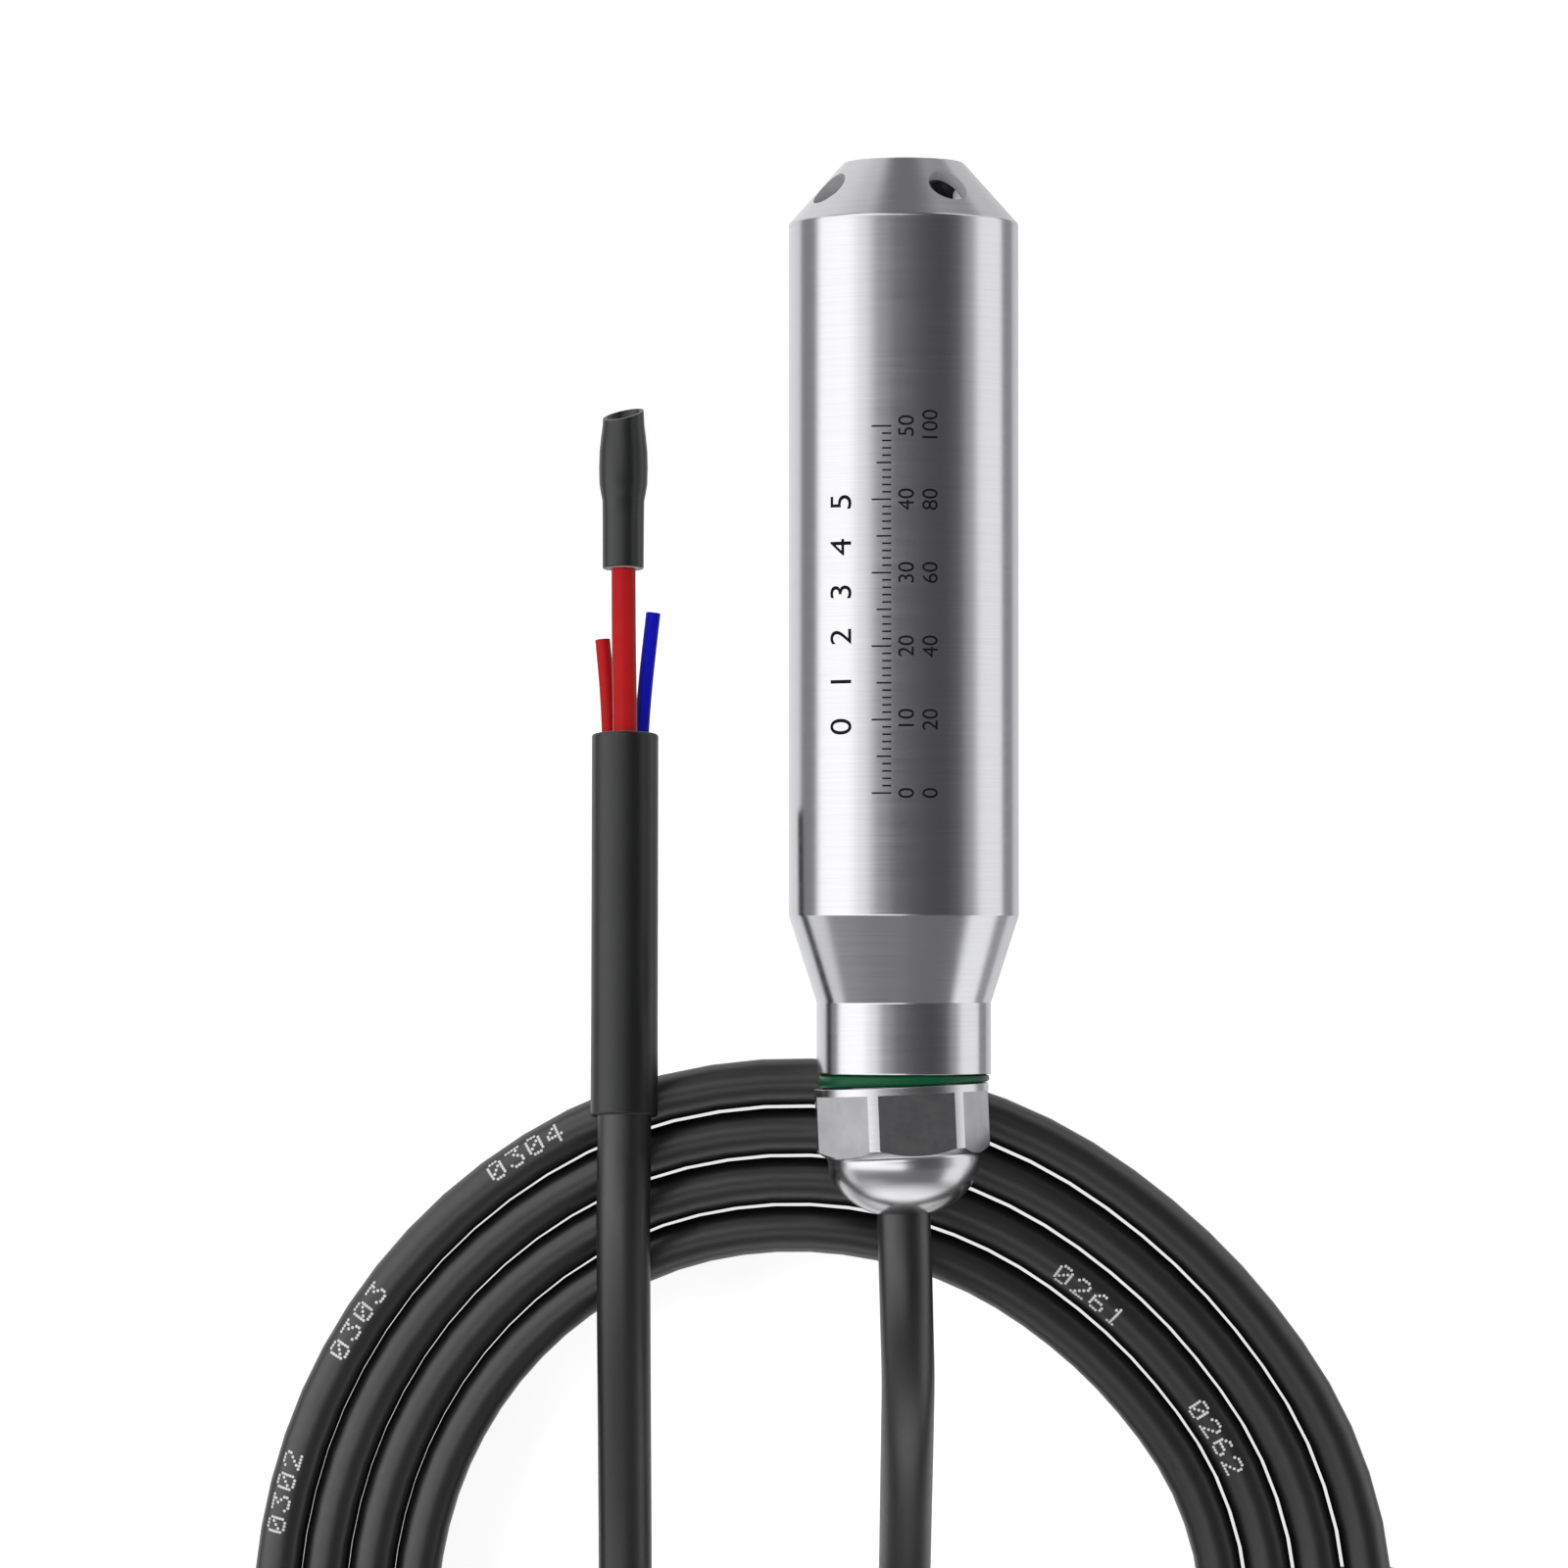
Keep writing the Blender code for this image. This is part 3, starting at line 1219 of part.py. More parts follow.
def make_shrink_sleeve():
    """Heat-shrunk sleeve over the jacket's end, drawn in round the tube and the two cores."""
    radius, bore = SHRINK_DIAMETER / 2, CABLE_RADIUS + SEAT_GAP
    end = SHRINK_LENGTH
    rounding = 1.1 * MM
    profile = []
    for k in range(5):
        step = math.pi / 2 * (1 - k / 4)
        profile.append(
            (radius - rounding + rounding * math.cos(step), end - rounding + rounding * math.sin(step))
        )
    profile = [(0.0, end), *profile, (radius, 2 * EDGE_BREAK), (radius - 2 * EDGE_BREAK, 0.0), (bore, 0.0)]
    profile += [(bore, SHRINK_GRIP), (0.0, SHRINK_GRIP)]
    sleeve = turned("shrink_sleeve", profile, SHRINK, LEAD, sides=INNER_SIDES, closed=False)
    pocket = VENT_IN_SHRINK + SEAT_GAP
    spots = (
        (0.0, 0.0, VENT_DIAMETER),
        (-CORE_OFFSET, CORE_DROP, CORE_DIAMETER),
        (CORE_OFFSET, CORE_DROP, CORE_DIAMETER),
    )
    for number, (across, drop, diameter) in enumerate(spots, 1):
        centre = Matrix.Translation((across, drop, end))
        drill = rod(
            f"sleeve_drill_{number}", diameter / 2 + FINE_GAP, 2 * pocket, centre, None, LEAD, sides=16
        )
        cut(sleeve, drill)


def make_lead_ends():
    inside = SHRINK_LENGTH - VENT_IN_SHRINK
    boot_start = SHRINK_LENGTH + VENT_SHOWS
    vent_end = boot_start + BOOT_COLLAR_LENGTH
    vent = [(0.0, 0.0, inside), (0.0, 0.0, SHRINK_LENGTH), (0.0, 0.0, vent_end)]
    tube("vent_tube", smooth_route(vent, 6.0 * MM), VENT_DIAMETER, RED_PLASTIC, LEAD, resolution=3)
    for name, side, length, lean, finish in (
        ("red_core", -1, RED_CORE_LENGTH, RED_CORE_LEAN, RED_PLASTIC),
        ("blue_core", 1, BLUE_CORE_LENGTH, BLUE_CORE_LEAN, BLUE_PLASTIC),
    ):
        across = side * CORE_OFFSET
        route = [
            (across, CORE_DROP, inside),
            (across, CORE_DROP, SHRINK_LENGTH),
            (across + side * lean * 0.3, CORE_DROP, SHRINK_LENGTH + length / 2),
            (across + side * lean, CORE_DROP, SHRINK_LENGTH + length),
        ]
        tube(name, smooth_route(route, 2.4 * MM), CORE_DIAMETER, finish, LEAD)
    make_vent_boot(boot_start)


def make_vent_boot(start):
    """The soft boot that lets the vent tube breathe, open at its slanted end."""
    radius, bulge = BOOT_DIAMETER / 2, BOOT_BULGE_DIAMETER / 2
    bore = VENT_DIAMETER / 2 + FINE_GAP
    bulge_start = start + BOOT_COLLAR_LENGTH
    bulge_end = bulge_start + BOOT_BULGE_LENGTH
    end = start + BOOT_LENGTH
    soft = 0.5 * MM
    boot = turned(
        "vent_boot",
        [
            (bore, end),
            (radius, end),
            (radius, bulge_end + soft),
            (bulge, bulge_end - soft),
            (bulge, bulge_start + soft),
            (radius, bulge_start - soft),
            (radius, start + EDGE_BREAK),
            (radius - EDGE_BREAK, start),
            (bore, start),
        ],
        BLACK_RUBBER,
        LEAD,
        sides=INNER_SIDES,
    )
    knife = block("boot_knife", (8 * radius, 8 * radius, 4 * radius), (0.0, 0.0, 0.0), None, LEAD)
    knife.location = (0.0, 0.0, end + 2 * radius - radius * math.tan(BOOT_SLANT))
    knife.rotation_euler = (0.0, -BOOT_SLANT, 0.0)
    cut(boot, knife)


def build():
    make_nose_cap()
    make_housing()
    make_cell_holder()
    make_pressure_cell()
    make_diaphragm()
    make_retaining_ring()
    make_header_pins()
    make_sensor_board()
    make_liner()
    make_carrier("front_carrier", FRONT_CARRIER_START, FRONT_CARRIER_END)
    make_carrier("rear_carrier", REAR_CARRIER_START, REAR_CARRIER_START)
    make_board()
    make_components()
    make_terminal_block()
    make_ribbon()
    make_inner_wires()
    make_cable_anchor()
    make_cable_tail()
    make_gland_seals()
    make_gland_ring()
    make_gland_nut()
    make_coil()
    make_ties()
    bpy.context.view_layer.update()
    make_free_cable()
    make_shrink_sleeve()
    make_lead_ends()


build()
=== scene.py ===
"""Looks of the submersible level transmitter: fine turned shells, one long cable and its lead end."""

import json
import math

import bmesh
import bpy
from mathutils import Matrix, Vector


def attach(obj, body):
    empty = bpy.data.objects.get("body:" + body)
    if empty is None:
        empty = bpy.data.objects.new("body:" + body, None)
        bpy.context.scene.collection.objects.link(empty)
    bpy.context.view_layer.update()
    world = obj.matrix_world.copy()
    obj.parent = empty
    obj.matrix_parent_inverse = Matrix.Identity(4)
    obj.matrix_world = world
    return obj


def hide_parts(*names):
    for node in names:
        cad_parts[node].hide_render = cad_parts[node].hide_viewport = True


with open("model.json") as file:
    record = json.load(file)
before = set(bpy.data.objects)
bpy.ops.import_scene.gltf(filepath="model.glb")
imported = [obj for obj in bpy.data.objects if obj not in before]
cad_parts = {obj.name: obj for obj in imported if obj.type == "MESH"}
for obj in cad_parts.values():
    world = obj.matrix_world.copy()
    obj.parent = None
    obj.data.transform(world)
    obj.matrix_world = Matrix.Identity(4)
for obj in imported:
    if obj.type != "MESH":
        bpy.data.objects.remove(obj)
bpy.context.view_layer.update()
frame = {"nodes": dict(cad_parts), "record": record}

MM = 0.001
TURN = 2 * math.pi

# The probe's axis: where the nose's tip is, and how far the nose dips
NOSE = Vector((0.0, 0.062736, 0.012604))
LAY = math.radians(9.2992)
PROBE = Matrix.Translation(NOSE) @ Matrix.Rotation(-(math.pi / 2 + LAY), 4, "X")

# The sleeve's axis at the free end of the cable
LEAD = Matrix.Translation(Vector((-34.1, -53.0, 24.65)) * MM) @ Matrix.Rotation(
    -(math.pi / 2 + math.radians(14.5)), 4, "X"
)

SKEW = math.radians(2.4)
NUT_PIVOT = 120.08

BODY_RADIUS = 14.0
# The cable shrinks a little where it is wound tightly
COIL_RADIUS = 2.85
RUN_RADIUS = 3.25
LEAD_RADIUS = 3.3


# Materials


def new_material(name):
    made = bpy.data.materials.new(name)
    made.use_nodes = True
    return made, made.node_tree, made.node_tree.nodes["Principled BSDF"]


def node(tree, kind, **settings):
    made = tree.nodes.new(kind)
    for key, value in settings.items():
        setattr(made, key, value)
    return made


def group(name, inputs, outputs, kind="ShaderNodeTree"):
    tree = bpy.data.node_groups.new(name, kind)
    for socket, sort, value in inputs:
        made = tree.interface.new_socket(socket, in_out="INPUT", socket_type=sort)
        if value is not None:
            made.default_value = value
    for socket, sort in outputs:
        tree.interface.new_socket(socket, in_out="OUTPUT", socket_type=sort)
    return tree, node(tree, "NodeGroupInput"), node(tree, "NodeGroupOutput")


def feed(tree, made, **sources):
    """Links or sets the input of each name, with spaces for underscores, and gives the first output."""
    for key, source in sources.items():
        socket = made.inputs[key.replace("_", " ")]
        if isinstance(source, bpy.types.NodeSocket):
            tree.links.new(source, socket)
        else:
            socket.default_value = source
    return made.outputs[0] if made.outputs else None


def math_node(tree, operation, first, second=None):
    made = node(tree, "ShaderNodeMath", operation=operation)
    for slot, value in enumerate((first, second)):
        if value is None:
            continue
        if isinstance(value, (int, float)):
            made.inputs[slot].default_value = value
        else:
            tree.links.new(value, made.inputs[slot])
    return made.outputs[0]


def ramp(tree, value, stops, interpolation="LINEAR"):
    made = node(tree, "ShaderNodeValToRGB")
    made.color_ramp.interpolation = interpolation
    while len(made.color_ramp.elements) < len(stops):
        made.color_ramp.elements.new(0.5)
    for element, (place, colour) in zip(made.color_ramp.elements, stops):
        element.position = place
        element.color = (*colour, 1.0) if isinstance(colour, tuple) else (colour, colour, colour, 1.0)
    tree.links.new(value, made.inputs[0])
    return made.outputs[0]


# How many times the turning lines' pattern repeats in a metre, round a piece and along it
LINE_SCALE = (60.0, 9000.0, 0.0)


def make_lathe_lines():
    """Fine lines that a turning tool leaves. The UV map runs round the piece and along it, in metres."""
    tree, given, out = group(
        "lathe_lines",
        [("Depth", "NodeSocketFloat", 0.1)],
        [("Lines", "NodeSocketFloat"), ("Cloud", "NodeSocketFloat"), ("Normal", "NodeSocketVector")],
    )
    scaled = node(tree, "ShaderNodeVectorMath", operation="MULTIPLY")
    tree.links.new(node(tree, "ShaderNodeUVMap", uv_map="lathe").outputs[0], scaled.inputs[0])
    scaled.inputs[1].default_value = LINE_SCALE
    place = scaled.outputs[0]
    lines = feed(tree, node(tree, "ShaderNodeTexNoise"), Vector=place, Scale=1.0, Detail=3.0, Roughness=0.7)
    cloud = feed(tree, node(tree, "ShaderNodeTexNoise"), Vector=place, Scale=0.12, Detail=2.0)
    bump = node(tree, "ShaderNodeBump")
    bump = feed(tree, bump, Strength=given.outputs["Depth"], Distance=0.00001, Height=lines)
    feed(tree, out, Lines=lines, Cloud=cloud, Normal=bump)
    return tree


def make_grain():
    """Cloudy wear and a fine bump for moulded, rubber and rolled surfaces, from the object's coordinates."""
    sizes = (("Cloud Scale", 90.0), ("Grain Scale", 2500.0), ("Depth", 0.1))
    tree, given, out = group(
        "grain",
        [(name, "NodeSocketFloat", size) for name, size in sizes],
        [("Cloud", "NodeSocketFloat"), ("Grain", "NodeSocketFloat"), ("Normal", "NodeSocketVector")],
    )
    size = given.outputs
    place = node(tree, "ShaderNodeTexCoord").outputs["Object"]
    cloud = feed(tree, node(tree, "ShaderNodeTexNoise"), Vector=place, Scale=size["Cloud Scale"], Detail=4.0)
    grain = feed(tree, node(tree, "ShaderNodeTexNoise"), Vector=place, Scale=size["Grain Scale"], Detail=3.0)
    bump = feed(tree, node(tree, "ShaderNodeBump"), Strength=size["Depth"], Distance=0.00003, Height=grain)
    feed(tree, out, Cloud=cloud, Grain=grain, Normal=bump)
    return tree


LATHE_LINES = make_lathe_lines()
GRAIN = make_grain()


def turned_steel(name, dark, light, rough, depth):
    """Steel with turning lines. They vary its colour, and its roughness between the least and the most."""
    made, tree, shader = new_material(name)
    lines = node(tree, "ShaderNodeGroup", node_tree=LATHE_LINES)
    feed(tree, lines, Depth=depth)
    mixed = math_node(tree, "MULTIPLY", lines.outputs["Lines"], 0.5)
    mixed = math_node(tree, "ADD", mixed, math_node(tree, "MULTIPLY", lines.outputs["Cloud"], 0.5))
    feed(
        tree,
        shader,
        Base_Color=ramp(tree, lines.outputs["Lines"], [(0.25, dark), (0.75, light)]),
        Roughness=ramp(tree, mixed, [(0.3, rough[0]), (0.7, rough[1])]),
        Normal=lines.outputs["Normal"],
        Metallic=1.0,
    )
    return made


def grained(name, dark, light, rough, bump, metallic=0.0, specular=0.5):
    """A surface with a cloudy colour. Rough is its least and most, bump its depth, cloud and grain scale."""
    made, tree, shader = new_material(name)
    surface = node(tree, "ShaderNodeGroup", node_tree=GRAIN)
    feed(tree, surface, Depth=bump[0], Cloud_Scale=bump[1], Grain_Scale=bump[2])
    feed(
        tree,
        shader,
        Base_Color=ramp(tree, surface.outputs["Cloud"], [(0.3, dark), (0.7, light)]),
        Roughness=ramp(tree, surface.outputs["Grain"], [(0.3, rough[0]), (0.7, rough[1])]),
        Normal=surface.outputs["Normal"],
        Metallic=metallic,
        Specular_IOR_Level=specular,
    )
    return made


BODY_STEEL = turned_steel("turned_steel", (0.59, 0.59, 0.615), (0.66, 0.66, 0.69), (0.15, 0.21), 0.05)
DOME_STEEL = turned_steel("dome_steel", (0.58, 0.58, 0.60), (0.64, 0.64, 0.66), (0.20, 0.26), 0.02)
# The inlets' walls: rough drilled steel, painted lighter and less metallic than the body's steel so that the
# walls show lit, which is painted light
DRILLED_STEEL_PAINTED_LIGHT = grained(
    "drilled_steel_painted_light", (0.66, 0.66, 0.68), (0.78, 0.78, 0.80), (0.4, 0.55), (0.05, 300.0, 4000.0), metallic=0.55
)
MILLED_STEEL = grained(
    "milled_steel", (0.52, 0.52, 0.54), (0.61, 0.61, 0.63), (0.20, 0.25), (0.012, 300.0, 1200.0), metallic=1.0
)
JACKET = grained(
    "cable_jacket", (0.003, 0.003, 0.0032), (0.005, 0.005, 0.0054),
    (0.36, 0.41), (0.012, 40.0, 900.0), specular=1.0,
)
SLEEVE = grained(
    "shrink_sleeve", (0.004, 0.0043, 0.0046), (0.007, 0.0074, 0.0078),
    (0.34, 0.38), (0.006, 60.0, 500.0), specular=0.65,
)
BOOT = grained(
    "boot_rubber", (0.005, 0.0055, 0.006), (0.009, 0.0097, 0.0105),
    (0.32, 0.37), (0.006, 80.0, 500.0), specular=0.65,
)
RED = grained(
    "red_insulation", (0.40, 0.004, 0.006), (0.48, 0.007, 0.009),
    (0.32, 0.42), (0.02, 120.0, 900.0), specular=0.2,
)
BLUE = grained(
    "blue_insulation", (0.0, 0.001, 0.40), (0.001, 0.003, 0.48),
    (0.32, 0.42), (0.02, 120.0, 900.0), specular=0.15,
)
GREEN = grained(
    "green_seal", (0.001, 0.065, 0.024), (0.002, 0.085, 0.032),
    (0.28, 0.36), (0.03, 150.0, 2000.0), specular=0.25,
)
BLACK_SEAL = grained(
    "black_seal", (0.012, 0.012, 0.012), (0.03, 0.03, 0.03), (0.5, 0.65), (0.15, 200.0, 2500.0)
)
NYLON = grained("nylon", (0.010, 0.010, 0.010), (0.020, 0.020, 0.020), (0.4, 0.55), (0.12, 120.0, 1800.0))
FOIL = grained(
    "diaphragm_foil", (0.60, 0.59, 0.56), (0.74, 0.73, 0.70),
    (0.14, 0.24), (0.05, 300.0, 3000.0), metallic=1.0,
)
BRASS = grained(
    "plated_brass", (0.68, 0.50, 0.22), (0.82, 0.66, 0.34), (0.22, 0.34), (0.08, 300.0, 3000.0), metallic=1.0
)
TINNED = grained(
    "tinned_metal", (0.62, 0.62, 0.60), (0.76, 0.76, 0.74), (0.26, 0.40), (0.08, 300.0, 3000.0), metallic=1.0
)
LAMINATE = grained(
    "board_laminate", (0.012, 0.12, 0.045), (0.025, 0.19, 0.075), (0.28, 0.42), (0.1, 200.0, 3500.0)
)
CHIP = grained(
    "chip_moulding", (0.018, 0.018, 0.020), (0.035, 0.035, 0.038), (0.45, 0.6), (0.15, 300.0, 4000.0)
)
CARRIER = grained(
    "carrier_plastic", (0.70, 0.69, 0.64), (0.80, 0.79, 0.74), (0.4, 0.55), (0.1, 150.0, 2500.0)
)
FILM = grained("amber_film", (0.58, 0.34, 0.08), (0.72, 0.48, 0.16), (0.28, 0.4), (0.05, 150.0, 2500.0))
INK = grained("white_ink", (0.60, 0.60, 0.60), (0.74, 0.74, 0.74), (0.5, 0.6), (0.05, 400.0, 3000.0))
ENGRAVED = grained(
    "engraved_mark", (0.004, 0.004, 0.005), (0.010, 0.010, 0.011),
    (0.6, 0.75), (0.05, 500.0, 4000.0), specular=0.08,
)

SLOT_FINISH = {
    "steel": MILLED_STEEL,
    "foil": FOIL,
    "brass": BRASS,
    "tinned": TINNED,
    "black_rubber": BLACK_SEAL,
    "green_rubber": GREEN,
    "nylon": NYLON,
    "board": LAMINATE,
    "chip": CHIP,
    "carrier": CARRIER,
    "film": FILM,
    "jacket": JACKET,
    "shrink": SLEEVE,
    "red": RED,
    "blue": BLUE,
}


def dress_nodes():
    for part in frame["record"]["subparts"]:
        solid = frame["nodes"][part["node"]]
        solid.data.materials.clear()
        solid.data.materials.append(SLOT_FINISH[part["material_slot"]])


# Building


def finish_piece(name, mesh, matrix, materials, replaces=(), angle=30.0):
    """Puts a mesh in its place, shades it, and lets it ride with the part."""
    mesh.transform(matrix)
    for place, made in enumerate(materials):
        if place < len(mesh.materials):
            mesh.materials[place] = made
        else:
            mesh.materials.append(made)
    mesh.shade_smooth()
    mesh.set_sharp_from_angle(angle=math.radians(angle))
    piece = bpy.data.objects.new(name, mesh)
    bpy.context.scene.collection.objects.link(piece)
    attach(piece, "root")
    if replaces:
        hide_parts(*replaces)
    return piece


def rounded(profile, radius, steps=3):
    """The open profile with the corners between its ends rounded off, by no more than its edges allow."""
    points = [Vector(point) for point in profile]
    made = [tuple(points[0])]
    for before, corner, after in zip(points, points[1:], points[2:]):
        back, ahead = before - corner, after - corner
        reach = min(radius, back.length * 0.45, ahead.length * 0.45)
        start, end = corner + back.normalized() * reach, corner + ahead.normalized() * reach
        made.append(tuple(corner + back.normalized() * min(reach * 2, back.length * 0.48)))
        for j in range(steps + 1):
            t = j / steps
            made.append(tuple(start * (1 - t) ** 2 + corner * 2 * t * (1 - t) + end * t**2))
        made.append(tuple(corner + ahead.normalized() * min(reach * 2, ahead.length * 0.48)))
    return [*made, tuple(points[-1])]


def mesh_from(bm, name):
    """The mesh of a bmesh, which is freed."""
    mesh = bpy.data.meshes.new(name)
    bm.to_mesh(mesh)
    bm.free()
    return mesh


def lathe_mesh(name, profile, sides, closed=True):
    """A turned shell from a (radius, depth) profile in millimetres, with a UV map round and along it."""
    bm = bmesh.new()
    uv = bm.loops.layers.uv.new("lathe")
    rings = []
    for radius, depth in profile:
        if radius < 1e-6:
            rings.append([bm.verts.new((0.0, 0.0, -depth * MM))])
            continue
        ring = []
        for k in range(sides):
            turn = TURN * k / sides
            spot = Vector((radius * math.cos(turn), radius * math.sin(turn), -depth))
            ring.append(bm.verts.new(spot * MM))
        rings.append(ring)
    travelled = [0.0]
    for (r0, u0), (r1, u1) in zip(profile, profile[1:] + profile[:1]):
        travelled.append(travelled[-1] + math.hypot(r1 - r0, u1 - u0) * MM)
    pairs = list(zip(rings, rings[1:] + rings[:1]))
    if not closed:
        pairs = pairs[:-1]
    for at, (first, second) in enumerate(pairs):
        for k in range(sides):
            corners, places = [], []
            for ring, step, far in (
                (first, k, travelled[at]),
                (second, k, travelled[at + 1]),
                (second, k + 1, travelled[at + 1]),
                (first, k + 1, travelled[at]),
            ):
                corner = ring[step % sides] if len(ring) > 1 else ring[0]
                if corner in corners:
                    continue
                corners.append(corner)
                places.append((TURN * step / sides * BODY_RADIUS * MM, far))
            if len(corners) < 3:
                continue
            face = bm.faces.new(corners)
            for loop, spot in zip(face.loops, places):
                loop[uv].uv = spot
    bmesh.ops.recalc_face_normals(bm, faces=bm.faces)
    return mesh_from(bm, name)


def cut_away(mesh, cutters):
    """Cuts the cutters away from a mesh. The cut faces take the second of its two material slots."""
    for shape in (mesh, *cutters):
        for _ in range(2):
            shape.materials.append(None)
    body = bpy.data.objects.new("being_cut", mesh)
    bpy.context.scene.collection.objects.link(body)
    tools = []
    for number, cutter in enumerate(cutters):
        tool = bpy.data.objects.new(f"tool_{number}", cutter)
        bpy.context.scene.collection.objects.link(tool)
        tools.append(tool)
        step = body.modifiers.new(f"cut_{number}", "BOOLEAN")
        step.operation = "DIFFERENCE"
        step.object = tool
        step.solver = "EXACT"
    graph = bpy.context.evaluated_depsgraph_get()
    cut = bpy.data.meshes.new_from_object(body.evaluated_get(graph))
    for gone in (body, *tools):
        bpy.data.objects.remove(gone)
    return cut


def cutter_from(bm):
    """The mesh of a cutter: its faces are in the second material slot."""
    for face in bm.faces:
        face.material_index = 1
    return mesh_from(bm, "cutter")


def drill_mesh(radius, length, matrix, sides=64):
    bm = bmesh.new()
    bmesh.ops.create_cone(
        bm, cap_ends=True, segments=sides, radius1=radius, radius2=radius, depth=length, matrix=matrix
    )
    return cutter_from(bm)


def box_mesh(size, matrix):
    bm = bmesh.new()
    bmesh.ops.create_cube(bm, size=1.0, matrix=matrix @ Matrix.Diagonal((*size, 1.0)))
    return cutter_from(bm)


def growth_tree(name, sizes):
    """A Geometry Nodes tree that takes a mesh and named sizes, and its first and last node."""
    shape = ("Geometry", "NodeSocketGeometry")
    return group(name, [(*shape, None), *sizes], [shape], "GeometryNodeTree")


def end_tree(tree, out, instances, finish, reshape=None):
    """Makes the instances real, lets reshape move their points, and gives them their material."""
    shape = feed(tree, node(tree, "GeometryNodeRealizeInstances"), Geometry=instances)
    if reshape:
        shape = reshape(shape)
    shape = feed(tree, node(tree, "GeometryNodeSetMaterial"), Geometry=shape, Material=finish)
    tree.links.new(shape, out.inputs["Geometry"])


def grown_mesh(name, tree, base, **sizes):
    """The plain mesh that a growth tree makes from a base mesh."""
    carrier = bpy.data.objects.new(name, base)
    bpy.context.scene.collection.objects.link(carrier)
    growth = carrier.modifiers.new(name, "NODES")
    growth.node_group = tree
    for socket in tree.interface.items_tree:
        if socket.in_out == "INPUT" and socket.name in sizes:
            growth[socket.identifier] = sizes[socket.name]
    mesh = bpy.data.meshes.new_from_object(carrier.evaluated_get(bpy.context.evaluated_depsgraph_get()))
    bpy.data.objects.remove(carrier)
    return mesh


# The camera and the cable


def make_camera():
    data = bpy.data.cameras.new("camera")
    data.lens = 166.5
    data.sensor_width = 36.0
    data.sensor_fit = "HORIZONTAL"
    data.clip_end = 20.0
    camera = bpy.data.objects.new("camera", data)
    camera.location = Vector((-14.539, 110.9, 897.9)) * MM
    camera.rotation_euler = (math.radians(-8.005), 0.0, 0.0)
    bpy.context.scene.collection.objects.link(camera)
    bpy.context.scene.camera = camera


make_camera()

LAYER_HEIGHTS = (4.25, 10.5, 16.75)
TOP_CENTRE = (-11.2, -118.3)
# How the coil departs from a circle: degrees from north, radius of the outermost turn, distance between turns
COIL_SHAPE = (
    (0, 68.3, 6.20), (20, 67.4, 6.17), (40, 66.8, 6.07), (60, 67.5, 6.03), (78, 69.8, 6.10),
    (90, 69.6, 6.12), (120, 68.8, 6.15), (150, 68.5, 6.15), (180, 68.3, 6.15), (210, 68.2, 6.10),
    (240, 67.6, 5.95), (262, 67.0, 5.80), (280, 66.6, 5.75), (300, 66.9, 5.75), (320, 67.8, 5.85),
    (340, 68.6, 6.10), (360, 68.3, 6.20),
)
# Where the camera is when the gaps between the turns line up
CAMERA_SPOT = (-14.539, 111.0, 897.9)
# Which of the four radii, and which layer, each turn has where it passes the north side
CROSSINGS = (
    (0, 0), (1, 0), (2, 0), (3, 0), (3, 1), (2, 1), (1, 1), (0, 1), (0, 2), (1, 2), (2, 2), (3, 2),
)
LAST_TURN = len(CROSSINGS) - 1
# The part of a turn, in degrees from north, in which each layer's turns move over by one place
SHIFTS = ((225.0, 275.0), (165.0, 215.0), (105.0, 155.0))
CLIMBS = ((195.0, 245.0), (135.0, 185.0))

RUN_ROUTE = [
    (0.2, -70.0, 34.1), (0.4, -77.0, 33.8), (0.6, -84.0, 31.9), (0.6, -91.0, 28.2), (0.6, -98.0, 23.0),
    (0.6, -105.0, 17.3), (0.6, -112.0, 12.0), (0.5, -119.0, 7.8), (0.4, -126.0, 5.3), (0.2, -133.0, 4.5),
    (-2.9, -145.2, 4.5), (-12.1, -154.6, 4.5), (-24.0, -157.4, 4.5),
]
JOINING = ((213.0, 41.4), (226.0, 44.2), (239.0, 45.7), (252.0, 47.7), (265.0, 49.6))
LEAD_ROUTE = [
    (27.6, -174.6, 23.6), (13.4, -181.9, 24.0), (0.8, -184.2, 24.7), (-14.0, -180.9, 25.0),
    (-26.0, -171.6, 24.6), (-32.9, -158.4, 23.8), (-34.2, -146.0, 22.9), (-34.2, -132.0, 22.0),
    (-34.2, -118.0, 21.9), (-34.2, -104.0, 22.7), (-34.2, -90.0, 24.5), (-34.2, -80.0, 25.9),
    (-34.2, -72.0, 26.6), (-34.2, -65.0, 26.7), (-34.1, -58.0, 25.9),
]
# Where the last turn climbs off the coil, in degrees from north, and how far
EXIT_RISE = (94.0, 134.0)
EXIT_LIFT = 6.85
# How much wider than the top layer the lowest one is
LOWEST_GROWTH = 1.0143


def eased(angle, start, end):
    share = min(1.0, max(0.0, (angle - start) / (end - start)))
    return (1 - math.cos(math.pi * share)) / 2


def coil_point(angle, radius, height):
    """A point of the coil. Each lower layer is a little wider, so that the camera sees the gaps in line."""
    grow = (CAMERA_SPOT[2] - height) / (CAMERA_SPOT[2] - LAYER_HEIGHTS[2])
    turn = math.radians(angle)
    x = TOP_CENTRE[0] + radius * math.sin(turn)
    y = TOP_CENTRE[1] + radius * math.cos(turn)
    return Vector(
        (CAMERA_SPOT[0] + (x - CAMERA_SPOT[0]) * grow, CAMERA_SPOT[1] + (y - CAMERA_SPOT[1]) * grow, height)
    )


